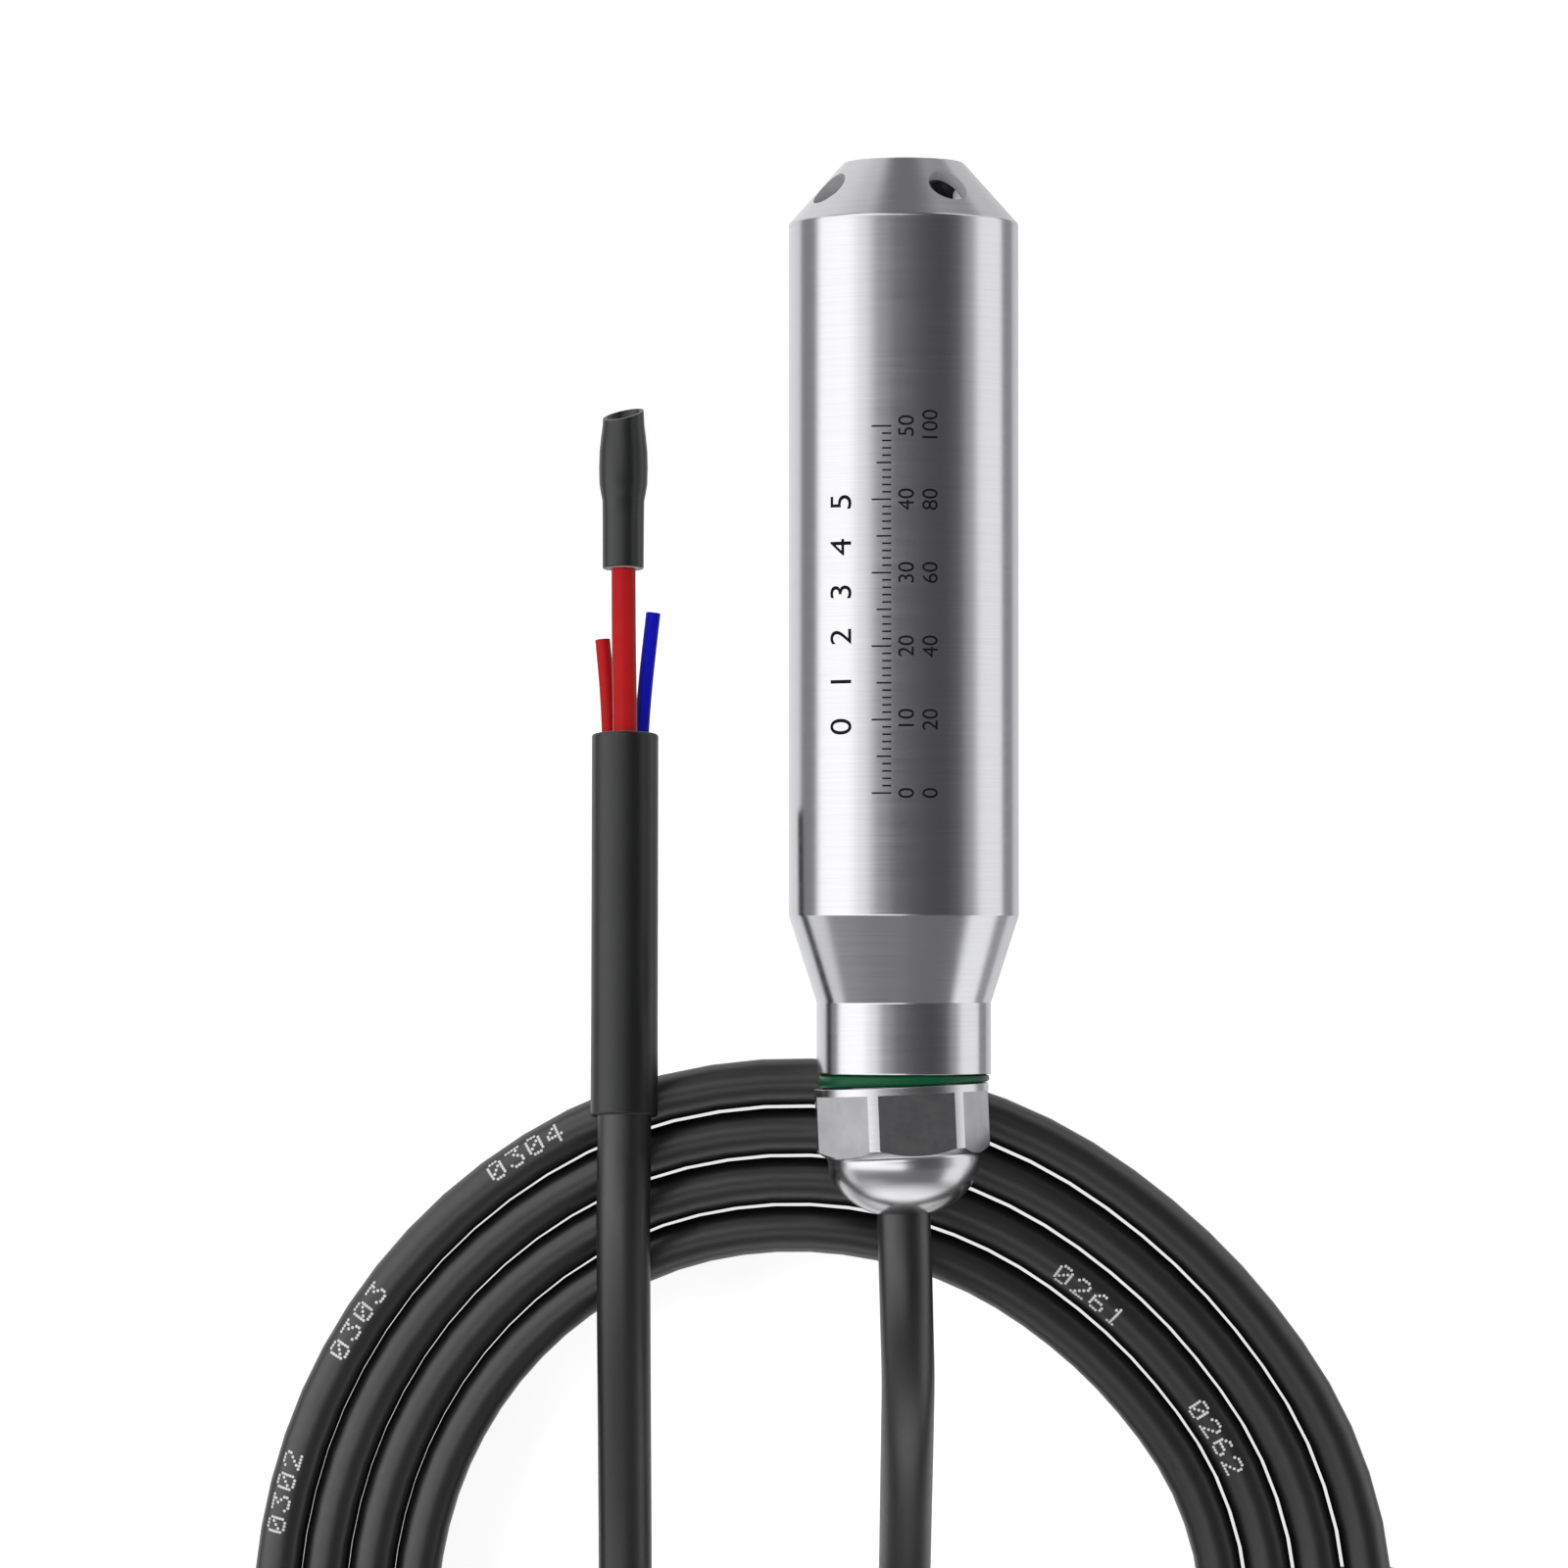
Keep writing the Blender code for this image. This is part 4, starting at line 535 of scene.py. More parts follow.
def coil_place(total):
    """The radius and the height at an angle counted on from the first crossing of the north side."""
    number = math.floor(total / 360.0)
    angle = total - 360.0 * number
    first = CROSSINGS[max(0, min(number, LAST_TURN))]
    second = CROSSINGS[max(0, min(number + 1, LAST_TURN))]
    place, height = first[0], LAYER_HEIGHTS[first[1]]
    if first[1] != second[1]:
        height += (LAYER_HEIGHTS[second[1]] - height) * eased(angle, *CLIMBS[first[1]])
    else:
        place += (second[0] - place) * eased(angle, *SHIFTS[first[1]])
    if number == LAST_TURN:
        height += EXIT_LIFT * eased(angle, *EXIT_RISE)
    for (a0, outer0, pitch0), (a1, outer1, pitch1) in zip(COIL_SHAPE, COIL_SHAPE[1:]):
        if a0 <= angle <= a1:
            share = (angle - a0) / (a1 - a0)
            outer = outer0 + (outer1 - outer0) * share
            pitch = pitch0 + (pitch1 - pitch0) * share
    return outer - (3 - place) * pitch, height


def make_route():
    """The knots of the cable's whole route, in millimetres, from inside the gland to inside the sleeve."""
    knots = [PROBE @ Vector((0.0, 0.0, -depth * MM)) / MM for depth in (124.2, 127.8)]
    knots += [Vector(point) for point in RUN_ROUTE]
    knots += [coil_point(angle, radius / LOWEST_GROWTH, LAYER_HEIGHTS[0]) for angle, radius in JOINING]
    total = -80.0
    while total <= LAST_TURN * 360.0 + 140.0:
        radius, height = coil_place(total)
        knots.append(coil_point(total, radius, height))
        total += 15.0
    knots += [Vector(point) for point in LEAD_ROUTE]
    knots += [LEAD @ Vector((0.0, 0.0, along * MM)) / MM for along in (0.0, 8.0, 20.0, 37.7)]
    return knots


def smooth_through(knots, per_span):
    """Points on the smooth curve through the knots."""
    ends = [2 * knots[0] - knots[1], *knots, 2 * knots[-1] - knots[-2]]
    points = []
    for before, start, end, after in zip(ends, ends[1:], ends[2:], ends[3:]):
        for k in range(per_span):
            t = k / per_span
            points.append(
                0.5
                * (
                    2 * start
                    + (end - before) * t
                    + (2 * before - 5 * start + 4 * end - after) * t**2
                    + (3 * start - before - 3 * end + after) * t**3
                )
            )
    points.append(knots[-1])
    return points


def frames_along(points):
    """(point, side, up) along a line, without twisting. Up stays as near to upright as it can."""
    made = []
    up = Vector((0.0, 0.0, 1.0))
    for k, point in enumerate(points):
        way = (points[min(k + 1, len(points) - 1)] - points[max(k - 1, 0)]).normalized()
        up = (up - way * up.dot(way)).normalized()
        made.append((point, way.cross(up), up))
        up = (up * 0.8 + Vector((0.0, 0.0, 0.2))).normalized()
    return made


def lengths_along(points):
    """How far along the line each of its points is."""
    lengths = [0.0]
    for start, end in zip(points, points[1:]):
        lengths.append(lengths[-1] + (end - start).length)
    return lengths


def tube_mesh(name, points, radius, sides):
    """A round tube along points in metres. Its radius may be a list, and its ends are capped."""
    bm = bmesh.new()
    uv = bm.loops.layers.uv.new("lathe")
    radii = radius if isinstance(radius, list) else [radius] * len(points)
    rings = []
    for (point, side, up), size in zip(frames_along(points), radii):
        ring = []
        for k in range(sides):
            turn = TURN * k / sides
            ring.append(bm.verts.new(point + (side * math.cos(turn) + up * math.sin(turn)) * size))
        rings.append(ring)
    lengths = lengths_along(points)
    for at, (first, second) in enumerate(zip(rings, rings[1:])):
        near, far = lengths[at], lengths[at + 1]
        for k in range(sides):
            after = (k + 1) % sides
            face = bm.faces.new((first[k], first[after], second[after], second[k]))
            spots = ((k, near), (k + 1, near), (k + 1, far), (k, far))
            for loop, (turn, along) in zip(face.loops, spots):
                loop[uv].uv = (turn / sides * TURN * radii[at], along)
    bm.faces.new(rings[0][::-1])
    bm.faces.new(rings[-1])
    bmesh.ops.recalc_face_normals(bm, faces=bm.faces)
    return mesh_from(bm, name)


ROUTE = make_route()
CABLE_LINE = [point * MM for point in smooth_through(ROUTE, 3)]


def cable_radii():
    """The cable's radius at each point of its line, in metres."""
    lengths = lengths_along(CABLE_LINE)
    radii = []
    for gone in lengths:
        left = lengths[-1] - gone
        size = RUN_RADIUS + (COIL_RADIUS - RUN_RADIUS) * eased(gone, 75.0 * MM, 140.0 * MM)
        size += (LEAD_RADIUS - COIL_RADIUS) * (1 - eased(left, 135.0 * MM, 200.0 * MM))
        radii.append(size * MM)
    return radii


def make_cable():
    mesh = tube_mesh("cable", CABLE_LINE, cable_radii(), 24)
    stands_for = ("cable_run", "cable_coil", "cable_lead")
    return finish_piece("cable", mesh, Matrix.Identity(4), [JACKET], stands_for)


DOT_RADIUS, DOT_SIDES = 0.2 * MM, 8
# Five by seven dots for each digit, one row a number, its highest bit on the left
DOTS = {
    "0": (14, 17, 19, 21, 25, 17, 14),
    "1": (4, 12, 4, 4, 4, 4, 14),
    "2": (14, 17, 1, 2, 4, 8, 31),
    "3": (31, 2, 4, 2, 1, 17, 14),
    "4": (2, 6, 10, 18, 31, 2, 2),
    "5": (31, 16, 30, 1, 1, 17, 14),
    "6": (6, 8, 16, 30, 17, 17, 14),
    "7": (31, 1, 2, 4, 8, 8, 8),
    "8": (14, 17, 17, 14, 17, 17, 14),
    "9": (14, 17, 17, 15, 1, 2, 12),
}

# (turn, degrees from north, how far from the top of the cable in degrees, digits)
CABLE_MARKS = (
    (11, -77.5, -22.0, "0302"),
    (11, -55.3, -22.0, "0303"),
    (11, -29.1, -30.0, "0304"),
    (9, 39.8, 8.0, "0261"),
    (9, 66.7, 8.0, "0262"),
    (10, 120.0, 0.0, "0285"),
    (10, 205.0, 0.0, "0290"),
)


def make_dot_tree():
    """A round dot on each point, turned to face the way that the point's "out" gives."""
    sizes = [("Dot Radius", "NodeSocketFloat", DOT_RADIUS), ("Dot Sides", "NodeSocketInt", DOT_SIDES)]
    tree, given, out = growth_tree("printed_dots", sizes)
    dot = node(tree, "GeometryNodeMeshCircle", fill_type="NGON")
    dot = feed(tree, dot, Vertices=given.outputs["Dot Sides"], Radius=given.outputs["Dot Radius"])
    way = feed(tree, node(tree, "GeometryNodeInputNamedAttribute", data_type="FLOAT_VECTOR"), Name="out")
    facing = feed(tree, node(tree, "FunctionNodeAlignRotationToVector", axis="Z"), Vector=way)
    dots = node(tree, "GeometryNodeInstanceOnPoints")
    dots = feed(tree, dots, Points=given.outputs["Geometry"], Instance=dot, Rotation=facing)
    end_tree(tree, out, dots, INK)
    return tree


def make_cable_marks():
    """Small printed length numbers, as dots that follow the cable's round."""
    lengths = lengths_along(CABLE_LINE)
    frames = frames_along(CABLE_LINE)
    pitch_along, pitch_round = 0.42 * MM, 0.36 * MM
    reach = (COIL_RADIUS + 0.02) * MM
    spots, ways = [], []
    for turn, angle, lean, digits in CABLE_MARKS:
        radius, height = coil_place(360.0 * turn + angle)
        spot = coil_point(angle, radius, height) * MM
        nearest = min(range(len(CABLE_LINE)), key=lambda k: (CABLE_LINE[k] - spot).length)
        for number, digit in enumerate(digits):
            for row, bits in enumerate(DOTS[digit]):
                for column in range(5):
                    if not bits >> (4 - column) & 1:
                        continue
                    along = lengths[nearest] + ((number - len(digits) / 2) * 6.6 + column) * pitch_along
                    at = nearest
                    while lengths[at] > along:
                        at -= 1
                    while lengths[at + 1] < along:
                        at += 1
                    share = (along - lengths[at]) / (lengths[at + 1] - lengths[at])
                    centre, side, up = (frames[at][k].lerp(frames[at + 1][k], share) for k in range(3))
                    roll = math.radians(lean) + (row - 3) * pitch_round / reach
                    out = up.normalized() * math.cos(roll) + side.normalized() * math.sin(roll)
                    spots.append(centre + out * reach)
                    ways.append(out)
    base = bpy.data.meshes.new("dot_places")
    base.from_pydata(spots, [], [])
    facing = base.attributes.new("out", "FLOAT_VECTOR", "POINT")
    for k, way in enumerate(ways):
        facing.data[k].vector = way
    sizes = {"Dot Radius": DOT_RADIUS, "Dot Sides": DOT_SIDES}
    mesh = grown_mesh("cable_marks", make_dot_tree(), base, **sizes)
    return finish_piece("cable_marks", mesh, Matrix.Identity(4), [])


# The probe's shells

# The radius and the depth of the cone's two ends
CONE = ((7.35, 0.0), (BODY_RADIUS, 7.5))
CONE_SLOPE = (CONE[1][0] - CONE[0][0]) / CONE[1][1]
INLET_DEPTH, INLET_RADIUS = 3.6, 2.5
NECK_END = 110.8


def towards(turn):
    """The way across the probe's axis at an angle counted from its front."""
    return Vector((math.sin(turn), -math.cos(turn), 0.0))


def make_nose_cap():
    outer = rounded([(3.2, 0.0), *CONE, (14.0, 8.035)], 0.14)
    inner = [
        (11.4, 8.03), (11.4, 9.0), (11.9, 9.5), (11.9, 13.5), (11.4, 14.0), (10.3, 14.0), (10.3, 5.6),
        (7.12, 2.0), (3.2, 2.0),
    ]
    mesh = lathe_mesh("nose_cap", outer + inner, 192)
    inlets = []
    outward = math.pi / 2 - math.atan(CONE_SLOPE)
    radius = CONE[0][0] + CONE_SLOPE * INLET_DEPTH
    for k in range(4):
        across = towards(math.radians(30.0 + 90.0 * k))
        on_cone = (across * radius + Vector((0.0, 0.0, -INLET_DEPTH))) * MM
        way = across * math.sin(outward) + Vector((0.0, 0.0, math.cos(outward)))
        turn_to = Matrix.Translation(on_cone) @ way.to_track_quat("Z", "Y").to_matrix().to_4x4()
        inlets.append(drill_mesh(INLET_RADIUS * MM, 6.0 * MM, turn_to))
    cap = cut_away(mesh, inlets)
    # The inlets' walls take the steel painted lighter, as painted light on them
    return finish_piece("nose_cap_shell", cap, PROBE, [BODY_STEEL, DRILLED_STEEL_PAINTED_LIGHT], ("nose_cap",))


def make_housing():
    outer = [(BODY_RADIUS, 8.04), (BODY_RADIUS, 91.6), (10.6, 102.2), (10.6, NECK_END), (8.3, NECK_END)]
    outer = [(12.25, 8.04), *rounded(outer, 0.1)]
    inner = [
        (8.3, 118.0), (7.9, 118.4), (6.6, 118.4), (6.6, 114.2), (4.0, 114.2), (4.0, 101.5), (6.2, 101.5),
        (6.2, 99.0), (11.6, 89.0), (11.6, 31.0), (12.2, 31.0), (12.2, 8.5),
    ]
    mesh = lathe_mesh("housing", outer + inner, 192)
    return finish_piece("housing_shell", mesh, PROBE, [BODY_STEEL], ("housing",))


def make_gland_ring():
    """The seal, squeezed into the wedge between the neck and the nut."""
    bm = bmesh.new()
    uv = bm.loops.layers.uv.new("lathe")
    sides, around = 160, 20
    rings = []
    for k in range(sides):
        turn = TURN * k / sides
        gap = 1.45 - 10.0 * math.cos(turn) * math.sin(SKEW)
        middle = NECK_END + gap / 2
        ring = []
        for j in range(around):
            step = TURN * j / around
            reach = 9.68 + 0.72 * math.copysign(abs(math.cos(step)) ** 0.8, math.cos(step))
            lift = (gap / 2 - 0.05) * math.copysign(abs(math.sin(step)) ** 0.8, math.sin(step))
            spot = Vector((reach * math.cos(turn), reach * math.sin(turn), -(middle + lift)))
            ring.append(bm.verts.new(spot * MM))
        rings.append(ring)
    for k in range(sides):
        for j in range(around):
            ahead = rings[(k + 1) % sides]
            face = bm.faces.new((rings[k][j], ahead[j], ahead[(j + 1) % around], rings[k][(j + 1) % around]))
            for loop, (a, b) in zip(face.loops, ((k, j), (k + 1, j), (k + 1, j + 1), (k, j + 1))):
                loop[uv].uv = (a * 0.0004, b * 0.0002)
    bmesh.ops.recalc_face_normals(bm, faces=bm.faces)
    mesh = mesh_from(bm, "gland_seal")
    return finish_piece("gland_seal", mesh, PROBE, [GREEN], ("gland_o_ring",))


def make_gland_nut():
    """Collar, six milled flats, chamfer and polished dome, leaning a little to one side."""
    flat, flat_start, flat_end = 9.5, 113.2, 120.95
    dome = []
    for k in range(33):
        step = math.acos(3.6 / 9.3) * k / 32
        dome.append((9.3 * math.cos(step), 121.05 + 7.2 * math.sin(step)))
    outer = [(8.8, 112.28), (10.6, 112.28), (10.6, 119.9), (9.42, 120.7), (9.34, 120.9)]
    outer = rounded(outer, 0.08)
    inner = [(3.6, 124.6), (4.0, 124.6), (7.28, 120.0), (8.8, 120.0)]
    profile = [(radius, depth - NUT_PIVOT) for radius, depth in outer + dome + inner]
    mesh = lathe_mesh("gland_nut", profile, 240)
    mills = []
    length = flat_end - flat_start
    for k in range(6):
        turn = math.radians(10.0 + 60.0 * k)
        middle = Vector((0.0, 0.0, NUT_PIVOT - flat_start - length / 2))
        centre = (towards(turn) * (flat + 6.0) + middle) * MM
        spun = Matrix.Translation(centre) @ Matrix.Rotation(turn, 4, "Z")
        mills.append(box_mesh((16.0 * MM, 12.0 * MM, length * MM), spun))
    nut = cut_away(mesh, mills)
    lean = PROBE @ Matrix.Translation((0.0, 0.0, -NUT_PIVOT * MM)) @ Matrix.Rotation(-SKEW, 4, "Y")
    finishes = [DOME_STEEL, MILLED_STEEL]
    return finish_piece("gland_nut_shell", nut, lean, finishes, ("gland_nut",), 18.0)


# The lead's end


def make_sleeve():
    profile = [(0.0, 47.1), (4.15, 47.1), (4.15, 14.0), (4.15, 0.3), (4.0, 0.0)]
    profile += [(3.4, 0.0), (3.4, 38.0), (0.0, 38.0)]
    profile = rounded(profile, 0.4, 5)
    waves = []
    for radius, along in profile:
        if radius > 4.0:
            radius += 0.03 * math.sin(along * 0.8) - 0.03
        waves.append((radius, -along))
    mesh = lathe_mesh("sleeve", waves, 96, closed=False)
    pockets = []
    for across, drop, size in ((0.0, 0.0, 1.5), (-2.0, 1.7, 0.95), (2.0, 1.7, 0.95)):
        at = Matrix.Translation(Vector((across, drop, 47.1)) * MM)
        pockets.append(drill_mesh(size * MM, 12.0 * MM, at, 32))
    cut = cut_away(mesh, pockets)
    return finish_piece("sleeve_shell", cut, LEAD, [SLEEVE, SLEEVE], ("shrink_sleeve",), 40.0)


def lead_tube(name, route, radius, finish, sides=32):
    points = [point * MM for point in smooth_through([Vector(knot) for knot in route], 6)]
    mesh = tube_mesh(name, points, radius * MM, sides)
    return finish_piece(f"{name}_shell", mesh, LEAD, [finish], (name,))


def make_lead_tubes():
    vent = [(0.0, 0.0, 41.1), (-0.05, 0.0, 50.0), (-0.2, 0.0, 60.0), (-0.3, 0.0, 76.3)]
    red = [(-2.0, 1.7, 41.1), (-2.0, 1.7, 47.1), (-2.3, 1.7, 53.0), (-2.85, 1.7, 59.1)]
    blue = [(2.0, 1.7, 41.1), (2.0, 1.7, 47.1), (2.5, 1.7, 54.0), (3.4, 1.7, 62.4)]
    return (
        lead_tube("vent_tube", vent, 1.5, RED, 40),
        lead_tube("red_core", red, 0.93, RED),
        lead_tube("blue_core", blue, 0.9, BLUE),
    )


def make_boot():
    """The soft boot: a collar, a longer bulge, and an end cut at a slant."""
    start = 67.7
    outer = [
        (1.6, 0.0), (2.55, 0.0), (2.55, 8.0), (2.64, 8.9), (2.92, 9.9), (3.02, 11.2), (3.02, 13.8),
        (2.92, 15.4), (2.68, 17.2), (2.52, 18.6), (2.46, 21.6),
    ]
    inner = [(2.12, 21.6), (2.12, 12.0), (1.6, 8.6)]
    smooth = [Vector(point) for point in outer[1:]]
    fair = []
    for k, point in enumerate(smooth):
        if 0 < k < len(smooth) - 1:
            fair.append(tuple((smooth[k - 1] + point * 2 + smooth[k + 1]) / 4))
            fair.append(tuple((point + smooth[k + 1]) / 2))
        else:
            fair.append(tuple(point))
    profile = [outer[0], (2.45, 0.0), (2.55, 0.12), *fair[1:], *inner]
    profile = [(radius, -(start + along)) for radius, along in profile]
    mesh = lathe_mesh("boot", profile, 96)
    slant = Matrix.Rotation(math.radians(-12.0), 4, "Y") @ Matrix.Rotation(math.radians(20.0), 4, "X")
    knife = Matrix.Translation(Vector((0.0, 0.0, start + 19.3)) * MM) @ slant
    knife = knife @ Matrix.Translation((0.0, 0.0, 6.0 * MM))
    cut = cut_away(mesh, [box_mesh((30 * MM, 30 * MM, 12.0 * MM), knife)])
    place = LEAD @ Matrix.Translation((-0.3 * MM, 0.0, 0.0))
    return finish_piece("boot_shell", cut, place, [BOOT, BOOT], ("vent_boot",), 35.0)


# Marks on the body: a plain scale and plain numbers

# The marks lie this little above the body
MARK_RADIUS = BODY_RADIUS + 0.012
# (how far across the front in mm, height of the digits, the numbers, depth of the first, distance apart)
BODY_NUMBERS = (
    (-6.75, 4.3, ("0", "1", "2", "3", "4", "5"), 69.0, 5.4),
    (1.0, 2.7, ("0", "10", "20", "30", "40", "50"), 77.0, 8.8),
    (3.9, 2.7, ("0", "20", "40", "60", "80", "100"), 77.0, 8.8),
)


def digit_mesh(digits, size):
    """Flat digits in metres, cut into narrow strips so that they can follow the round of the body."""
    curve = bpy.data.curves.new("digits", "FONT")
    curve.body = digits
    curve.size = size * MM
    curve.align_x = "CENTER"
    written = bpy.data.objects.new("digits", curve)
    bpy.context.scene.collection.objects.link(written)
    bpy.context.view_layer.update()
    flat = bpy.data.meshes.new_from_object(written.evaluated_get(bpy.context.evaluated_depsgraph_get()))
    bpy.data.objects.remove(written)
    bm = bmesh.new()
    bm.from_mesh(flat)
    bmesh.ops.triangulate(bm, faces=bm.faces)
    for k in range(1, 12):
        everything = [*bm.verts, *bm.edges, *bm.faces]
        spot = (0.0, k * 0.3 * MM, 0.0)
        bmesh.ops.bisect_plane(bm, geom=everything, plane_co=spot, plane_no=(0.0, 1.0, 0.0))
    return bm


def make_tick_tree():
    """A row of ticks up the front, every fifth longer and every tenth longest, bent to the body's round."""
    lengths = [("Short", 1.1), ("Middle", 1.8), ("Long", 2.4), ("Width", 0.2), ("Pitch", 0.88)]
    lengths += [("First", 77.0), ("Edge", -1.7), ("Radius", BODY_RADIUS)]
    tree, given, out = growth_tree(
        "scale_ticks",
        [("Count", "NodeSocketInt", 51), *((name, "NodeSocketFloat", size * MM) for name, size in lengths)],
    )
    size = given.outputs
    first, step = node(tree, "ShaderNodeCombineXYZ"), node(tree, "ShaderNodeCombineXYZ")
    first = feed(tree, first, Y=math_node(tree, "MULTIPLY", size["First"], -1.0))
    step = feed(tree, step, Y=size["Pitch"])
    row = node(tree, "GeometryNodeMeshLine", mode="OFFSET")
    row = feed(tree, row, Count=size["Count"], Start_Location=first, Offset=step)
    number = node(tree, "GeometryNodeInputIndex").outputs[0]
    tall = size["Short"]
    for every, longer, shorter in ((5.0, "Middle", "Short"), (10.0, "Long", "Middle")):
        off = math_node(tree, "MINIMUM", math_node(tree, "MODULO", number, every), 1.0)
        more = math_node(tree, "SUBTRACT", size[longer], size[shorter])
        more = math_node(tree, "MULTIPLY", more, math_node(tree, "SUBTRACT", 1.0, off))
        tall = math_node(tree, "ADD", tall, more)
    tick = node(tree, "GeometryNodeMeshGrid")
    tick = feed(tree, tick, Size_X=1.0, Size_Y=size["Width"], Vertices_X=6, Vertices_Y=2)
    tick = feed(tree, node(tree, "GeometryNodeSetPosition"), Geometry=tick, Offset=(-0.5, 0.0, 0.0))
    stretch = feed(tree, node(tree, "ShaderNodeCombineXYZ"), X=tall, Y=1.0, Z=1.0)
    ticks = feed(tree, node(tree, "GeometryNodeInstanceOnPoints"), Points=row, Instance=tick, Scale=stretch)

    def bend(shape):
        parts = node(tree, "ShaderNodeSeparateXYZ")
        feed(tree, parts, Vector=node(tree, "GeometryNodeInputPosition").outputs[0])
        turn = math_node(tree, "ADD", parts.outputs["X"], size["Edge"])
        turn = math_node(tree, "DIVIDE", turn, size["Radius"])
        x = math_node(tree, "MULTIPLY", math_node(tree, "SINE", turn), size["Radius"])
        y = math_node(tree, "MULTIPLY", math_node(tree, "COSINE", turn), size["Radius"])
        y = math_node(tree, "MULTIPLY", y, -1.0)
        place = feed(tree, node(tree, "ShaderNodeCombineXYZ"), X=x, Y=y, Z=parts.outputs["Y"])
        return feed(tree, node(tree, "GeometryNodeSetPosition"), Geometry=shape, Position=place)

    end_tree(tree, out, ticks, ENGRAVED, bend)
    return tree


def make_scale_ticks():
    base = bpy.data.meshes.new("tick_places")
    mesh = grown_mesh("scale_ticks", make_tick_tree(), base, Count=51, Radius=MARK_RADIUS * MM)
    return finish_piece("scale_ticks", mesh, PROBE, [])


def make_body_marks():
    """Numbers that lie on the round of the body, to be read from its right side."""
    whole = bmesh.new()

    def on_body(along, across):
        return (towards(across / BODY_RADIUS) * MARK_RADIUS - Vector((0.0, 0.0, along))) * MM

    for across, size, numbers, first, apart in BODY_NUMBERS:
        for count, digits in enumerate(numbers):
            made = digit_mesh(digits, size)
            copies = {}
            for vert in made.verts:
                along = first - count * apart - vert.co.x / MM
                copies[vert] = whole.verts.new(on_body(along, across - vert.co.y / MM))
            for face in made.faces:
                whole.faces.new([copies[vert] for vert in face.verts])
            made.free()
    bmesh.ops.recalc_face_normals(whole, faces=whole.faces)
    for face in whole.faces:
        face.normal_update()
        middle = face.calc_center_median()
        if face.normal.dot(Vector((middle.x, middle.y, 0.0))) < 0:
            face.normal_flip()
    mesh = mesh_from(whole, "body_marks")
    return finish_piece("body_marks", mesh, PROBE, [ENGRAVED])


# The ties round the coil

# How far out of the strap's inner side, and how far across it, each corner of its section is
STRAP_SECTION = (
    (0.0, -1.7), (0.0, 1.7), (0.12, 1.8), (0.95, 1.8), (1.08, 1.6), (1.08, -1.6), (0.95, -1.8), (0.12, -1.8),
)
# Degrees from north, and where the strap's inside passes the coil
TIES = ((88.0, 48.0, 73.8), (178.0, 45.2, 74.2), (268.0, 46.5, 71.2))
TIE_HEAD, TIE_TAIL = (3.0, 5.3, 4.5), (0.9, 3.2, 6.0)


def add_block(bm, centre, size, bevel, segments):
    """Adds a block with bevelled edges. The sizes are in millimetres."""
    place = Matrix.Translation(Vector(centre) * MM) @ Matrix.Diagonal((*(side * MM for side in size), 1.0))
    made = bmesh.ops.create_cube(bm, size=1.0, matrix=place)
    edges = {edge for vert in made["verts"] for edge in vert.link_edges}
    bmesh.ops.bevel(bm, geom=list(edges), offset=bevel * MM, segments=segments, affect="EDGES")


def make_tie(number, angle, inner, outer):
    """A smooth strap round the coil's section, with a head that its tail comes out of."""
    bm = bmesh.new()
    bottom, top, corner = 1.1, 19.9, 3.0
    path = []
    for x, z, first in (
        (outer - corner, top - corner, 0.0),
        (inner + corner, top - corner, 90.0),
        (inner + corner, bottom + corner, 180.0),
        (outer - corner, bottom + corner, 270.0),
    ):
        for k in range(9):
            step = math.radians(first + 90.0 * k / 8)
            path.append((x, z, math.cos(step), math.sin(step), corner))
    rings = []
    for x, z, cx, cz, reach in path:
        ring = []
        for depth, across in STRAP_SECTION:
            size = reach + depth
            ring.append(bm.verts.new(Vector((x + cx * size, across, z + cz * size)) * MM))
        rings.append(ring)
    for k, ring in enumerate(rings):
        after = rings[(k + 1) % len(rings)]
        for j in range(8):
            bm.faces.new((ring[j], after[j], after[(j + 1) % 8], ring[(j + 1) % 8]))
    add_block(bm, (outer + 2.0, 0.0, 10.8), TIE_HEAD, 0.4, 3)
    add_block(bm, (outer + 2.6, 0.0, 6.2), TIE_TAIL, 0.2, 2)
    bmesh.ops.recalc_face_normals(bm, faces=bm.faces)
    mesh = mesh_from(bm, f"tie_{number}")
    place = Matrix.Translation(Vector((-11.2, -119.8, 0.02)) * MM) @ Matrix.Rotation(
        math.pi / 2 - math.radians(angle), 4, "Z"
    )
    return finish_piece(f"tie_{number}_strap", mesh, place, [NYLON], (f"cable_tie_{number}",))


# The studio

# How brightly the floor glows where it is seen directly
FLOOR_GLOW = 0.80
# What the plain world gives to surfaces that don't mirror it
FILL_LIGHT = (0.45, 0.45, 0.455, 1.0)


def seen_directly(tree):
    """One where the camera looks straight at a surface, or through something clear."""
    rays = node(tree, "ShaderNodeLightPath").outputs
    return math_node(tree, "MAXIMUM", rays["Is Camera Ray"], rays["Is Transmission Ray"])


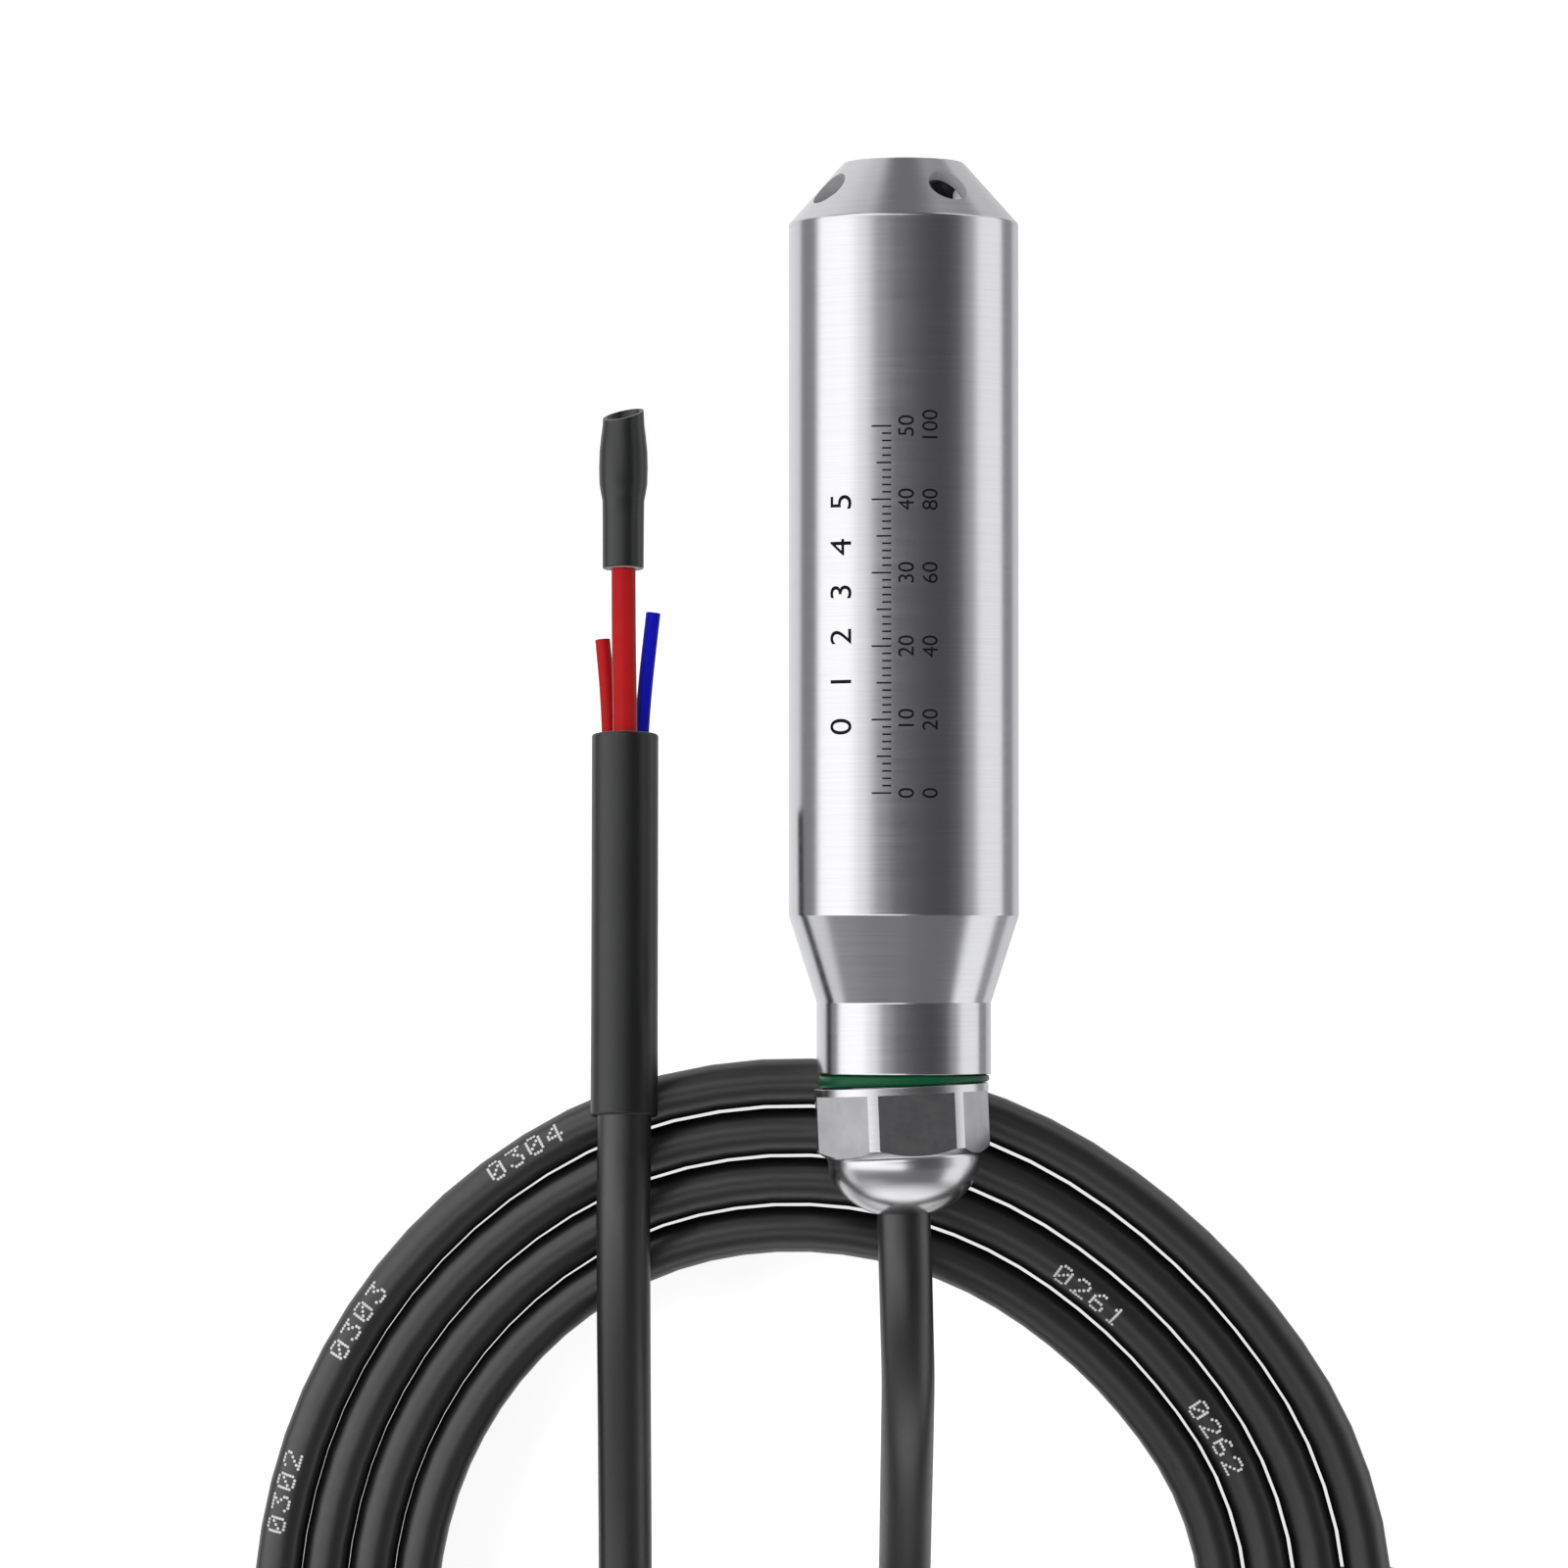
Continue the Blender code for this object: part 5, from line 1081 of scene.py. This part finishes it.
def make_floor():
    """A plain white floor that keeps the shadow. The camera sees it brightened, and metal doesn't see it."""
    bm = bmesh.new()
    bmesh.ops.create_grid(bm, x_segments=1, y_segments=1, size=3.0)
    mesh = mesh_from(bm, "floor")
    floor = bpy.data.objects.new("floor", mesh)
    floor.location.z = -0.0003
    floor.visible_glossy = False
    bpy.context.scene.collection.objects.link(floor)
    made, tree, shader = new_material("studio_floor")
    tree.nodes.remove(shader)
    out = tree.nodes["Material Output"]
    matt = feed(tree, node(tree, "ShaderNodeBsdfDiffuse"), Color=(0.6, 0.6, 0.6, 1.0))
    strength = math_node(tree, "MULTIPLY", seen_directly(tree), FLOOR_GLOW)
    glow = feed(tree, node(tree, "ShaderNodeEmission"), Strength=strength)
    both = node(tree, "ShaderNodeAddShader")
    tree.links.new(matt, both.inputs[0])
    tree.links.new(glow, both.inputs[1])
    tree.links.new(both.outputs[0], out.inputs["Surface"])
    mesh.materials.append(made)


# What polished surfaces see round them: (degrees from straight up, right is positive, brightness)
SOFT_BOXES = (
    (-180, 0.95), (-132, 0.95), (-121, 0.30), (-103, 0.30), (-92, 1.52), (-60, 1.55), (-43, 1.1), (-24, 0.36),
    (-6, 0.13), (40, 0.09), (55, 0.14), (70, 0.45), (85, 1.15), (112, 1.15), (120, 0.34), (136, 0.34),
    (143, 0.72), (180, 0.72),
)
# The same, higher up in the picture, where a long box hangs over the coil
LONG_BOX = (
    (-180, 0.6), (-150, 0.95), (-100, 1.0), (-60, 1.3), (-25, 1.5), (-6, 1.3), (10, 0.5), (28, 0.12),
    (55, 0.12), (80, 0.7), (110, 0.9), (150, 0.7), (180, 0.55),
)
# The same, lower down in the picture, where the box at the left is narrow
LOW_BOX = (
    (-180, 0.95), (-130, 0.95), (-122, 0.2), (-114, 0.95), (-94, 0.9), (-80, 0.36), (-20, 0.24), (40, 0.21),
    (60, 0.25), (75, 1.2), (103, 1.2), (114, 0.4), (126, 0.4), (135, 0.85), (180, 0.85),
)
# The same, just below the middle, where a box stands over the coil's near left
COIL_BOX = (
    (-180, 0.95), (-132, 0.95), (-121, 0.30), (-103, 0.30), (-92, 1.52), (-70, 1.7), (-4, 1.7), (6, 0.35),
    (20, 0.12), (55, 0.14), (70, 0.45), (85, 1.15), (112, 1.15), (120, 0.34), (136, 0.34), (143, 0.72),
    (180, 0.72),
)


def around(tree, turn, levels):
    return ramp(tree, turn, [((degrees + 180) / 360, level / 2) for degrees, level in levels], "EASE")


def mixed_levels(tree, share, first, second):
    made = node(tree, "ShaderNodeMix", data_type="RGBA")
    for slot, value in ((0, share), (6, first), (7, second)):
        if isinstance(value, tuple):
            made.inputs[slot].default_value = value
        else:
            tree.links.new(value, made.inputs[slot])
    return made.outputs[2]


def make_world():
    """White to the camera; to polished surfaces, soft boxes at the left and right with dark between."""
    world = bpy.data.worlds.new("studio")
    bpy.context.scene.world = world
    world.use_nodes = True
    tree = world.node_tree
    split = node(tree, "ShaderNodeSeparateXYZ")
    feed(tree, split, Vector=node(tree, "ShaderNodeTexCoord").outputs["Generated"])
    angle = math_node(tree, "ARCTAN2", split.outputs["X"], split.outputs["Z"])
    turn = math_node(tree, "ADD", math_node(tree, "DIVIDE", angle, TURN), 0.5)
    height = math_node(tree, "ADD", math_node(tree, "MULTIPLY", split.outputs["Y"], 0.5), 0.5)
    high = ramp(tree, height, [(0.65, 0.0), (0.70, 1.0), (0.80, 1.0), (0.86, 0.0)], "EASE")
    low = ramp(tree, height, [(0.12, 0.0), (0.20, 1.0), (0.34, 1.0), (0.42, 0.0)], "EASE")
    middle = ramp(tree, height, [(0.34, 0.0), (0.38, 1.0), (0.49, 1.0), (0.53, 0.0)], "EASE")
    plain = ramp(tree, height, [(0.10, 0.85), (0.22, 0.0), (0.955, 0.0), (0.99, 1.0)], "EASE")
    grey = [(0.02, 0.75), (0.06, 0.55), (0.13, 0.14), (0.3, 0.13), (0.8, 0.24), (0.97, 0.10)]
    grey = ramp(tree, height, grey)
    boxes = mixed_levels(tree, high, around(tree, turn, SOFT_BOXES), around(tree, turn, LONG_BOX))
    boxes = mixed_levels(tree, low, boxes, around(tree, turn, LOW_BOX))
    boxes = mixed_levels(tree, middle, boxes, around(tree, turn, COIL_BOX))
    doubled = node(tree, "ShaderNodeVectorMath", operation="SCALE")
    doubled.inputs["Scale"].default_value = 2.0
    tree.links.new(mixed_levels(tree, plain, boxes, grey), doubled.inputs[0])
    glossy = node(tree, "ShaderNodeLightPath").outputs["Is Glossy Ray"]
    lit = mixed_levels(tree, glossy, FILL_LIGHT, doubled.outputs[0])
    seen = mixed_levels(tree, seen_directly(tree), lit, (1.0, 1.0, 1.0, 1.0))
    tree.links.new(seen, tree.nodes["Background"].inputs[0])


def make_lamp(name, spot, target, size, power):
    data = bpy.data.lights.new(name, "AREA")
    data.shape = "SQUARE"
    data.size = size
    data.energy = power
    lamp = bpy.data.objects.new(name, data)
    lamp.location = spot
    lamp.rotation_euler = (Vector(target) - Vector(spot)).to_track_quat("-Z", "Y").to_euler()
    lamp.visible_glossy = False
    bpy.context.scene.collection.objects.link(lamp)


def main():
    bpy.context.scene.view_settings.view_transform = "Standard"
    dress_nodes()
    make_floor()
    make_world()
    make_lamp("key", (-0.55, 0.25, 0.75), (0.0, -0.04, 0.0), 0.6, 5.0)
    make_lamp("fill", (0.6, 0.1, 0.6), (0.0, -0.04, 0.0), 0.8, 1.5)
    cable = make_cable()
    marks = make_cable_marks()
    make_nose_cap()
    make_housing()
    make_gland_ring()
    make_gland_nut()
    make_scale_ticks()
    make_body_marks()
    sleeve = make_sleeve()
    vent, red, blue = make_lead_tubes()
    boot = make_boot()
    for piece in (sleeve, vent, red, blue, boot):
        piece.visible_glossy = False
    ties = [make_tie(number, *place) for number, place in enumerate(TIES, 1)]


main()
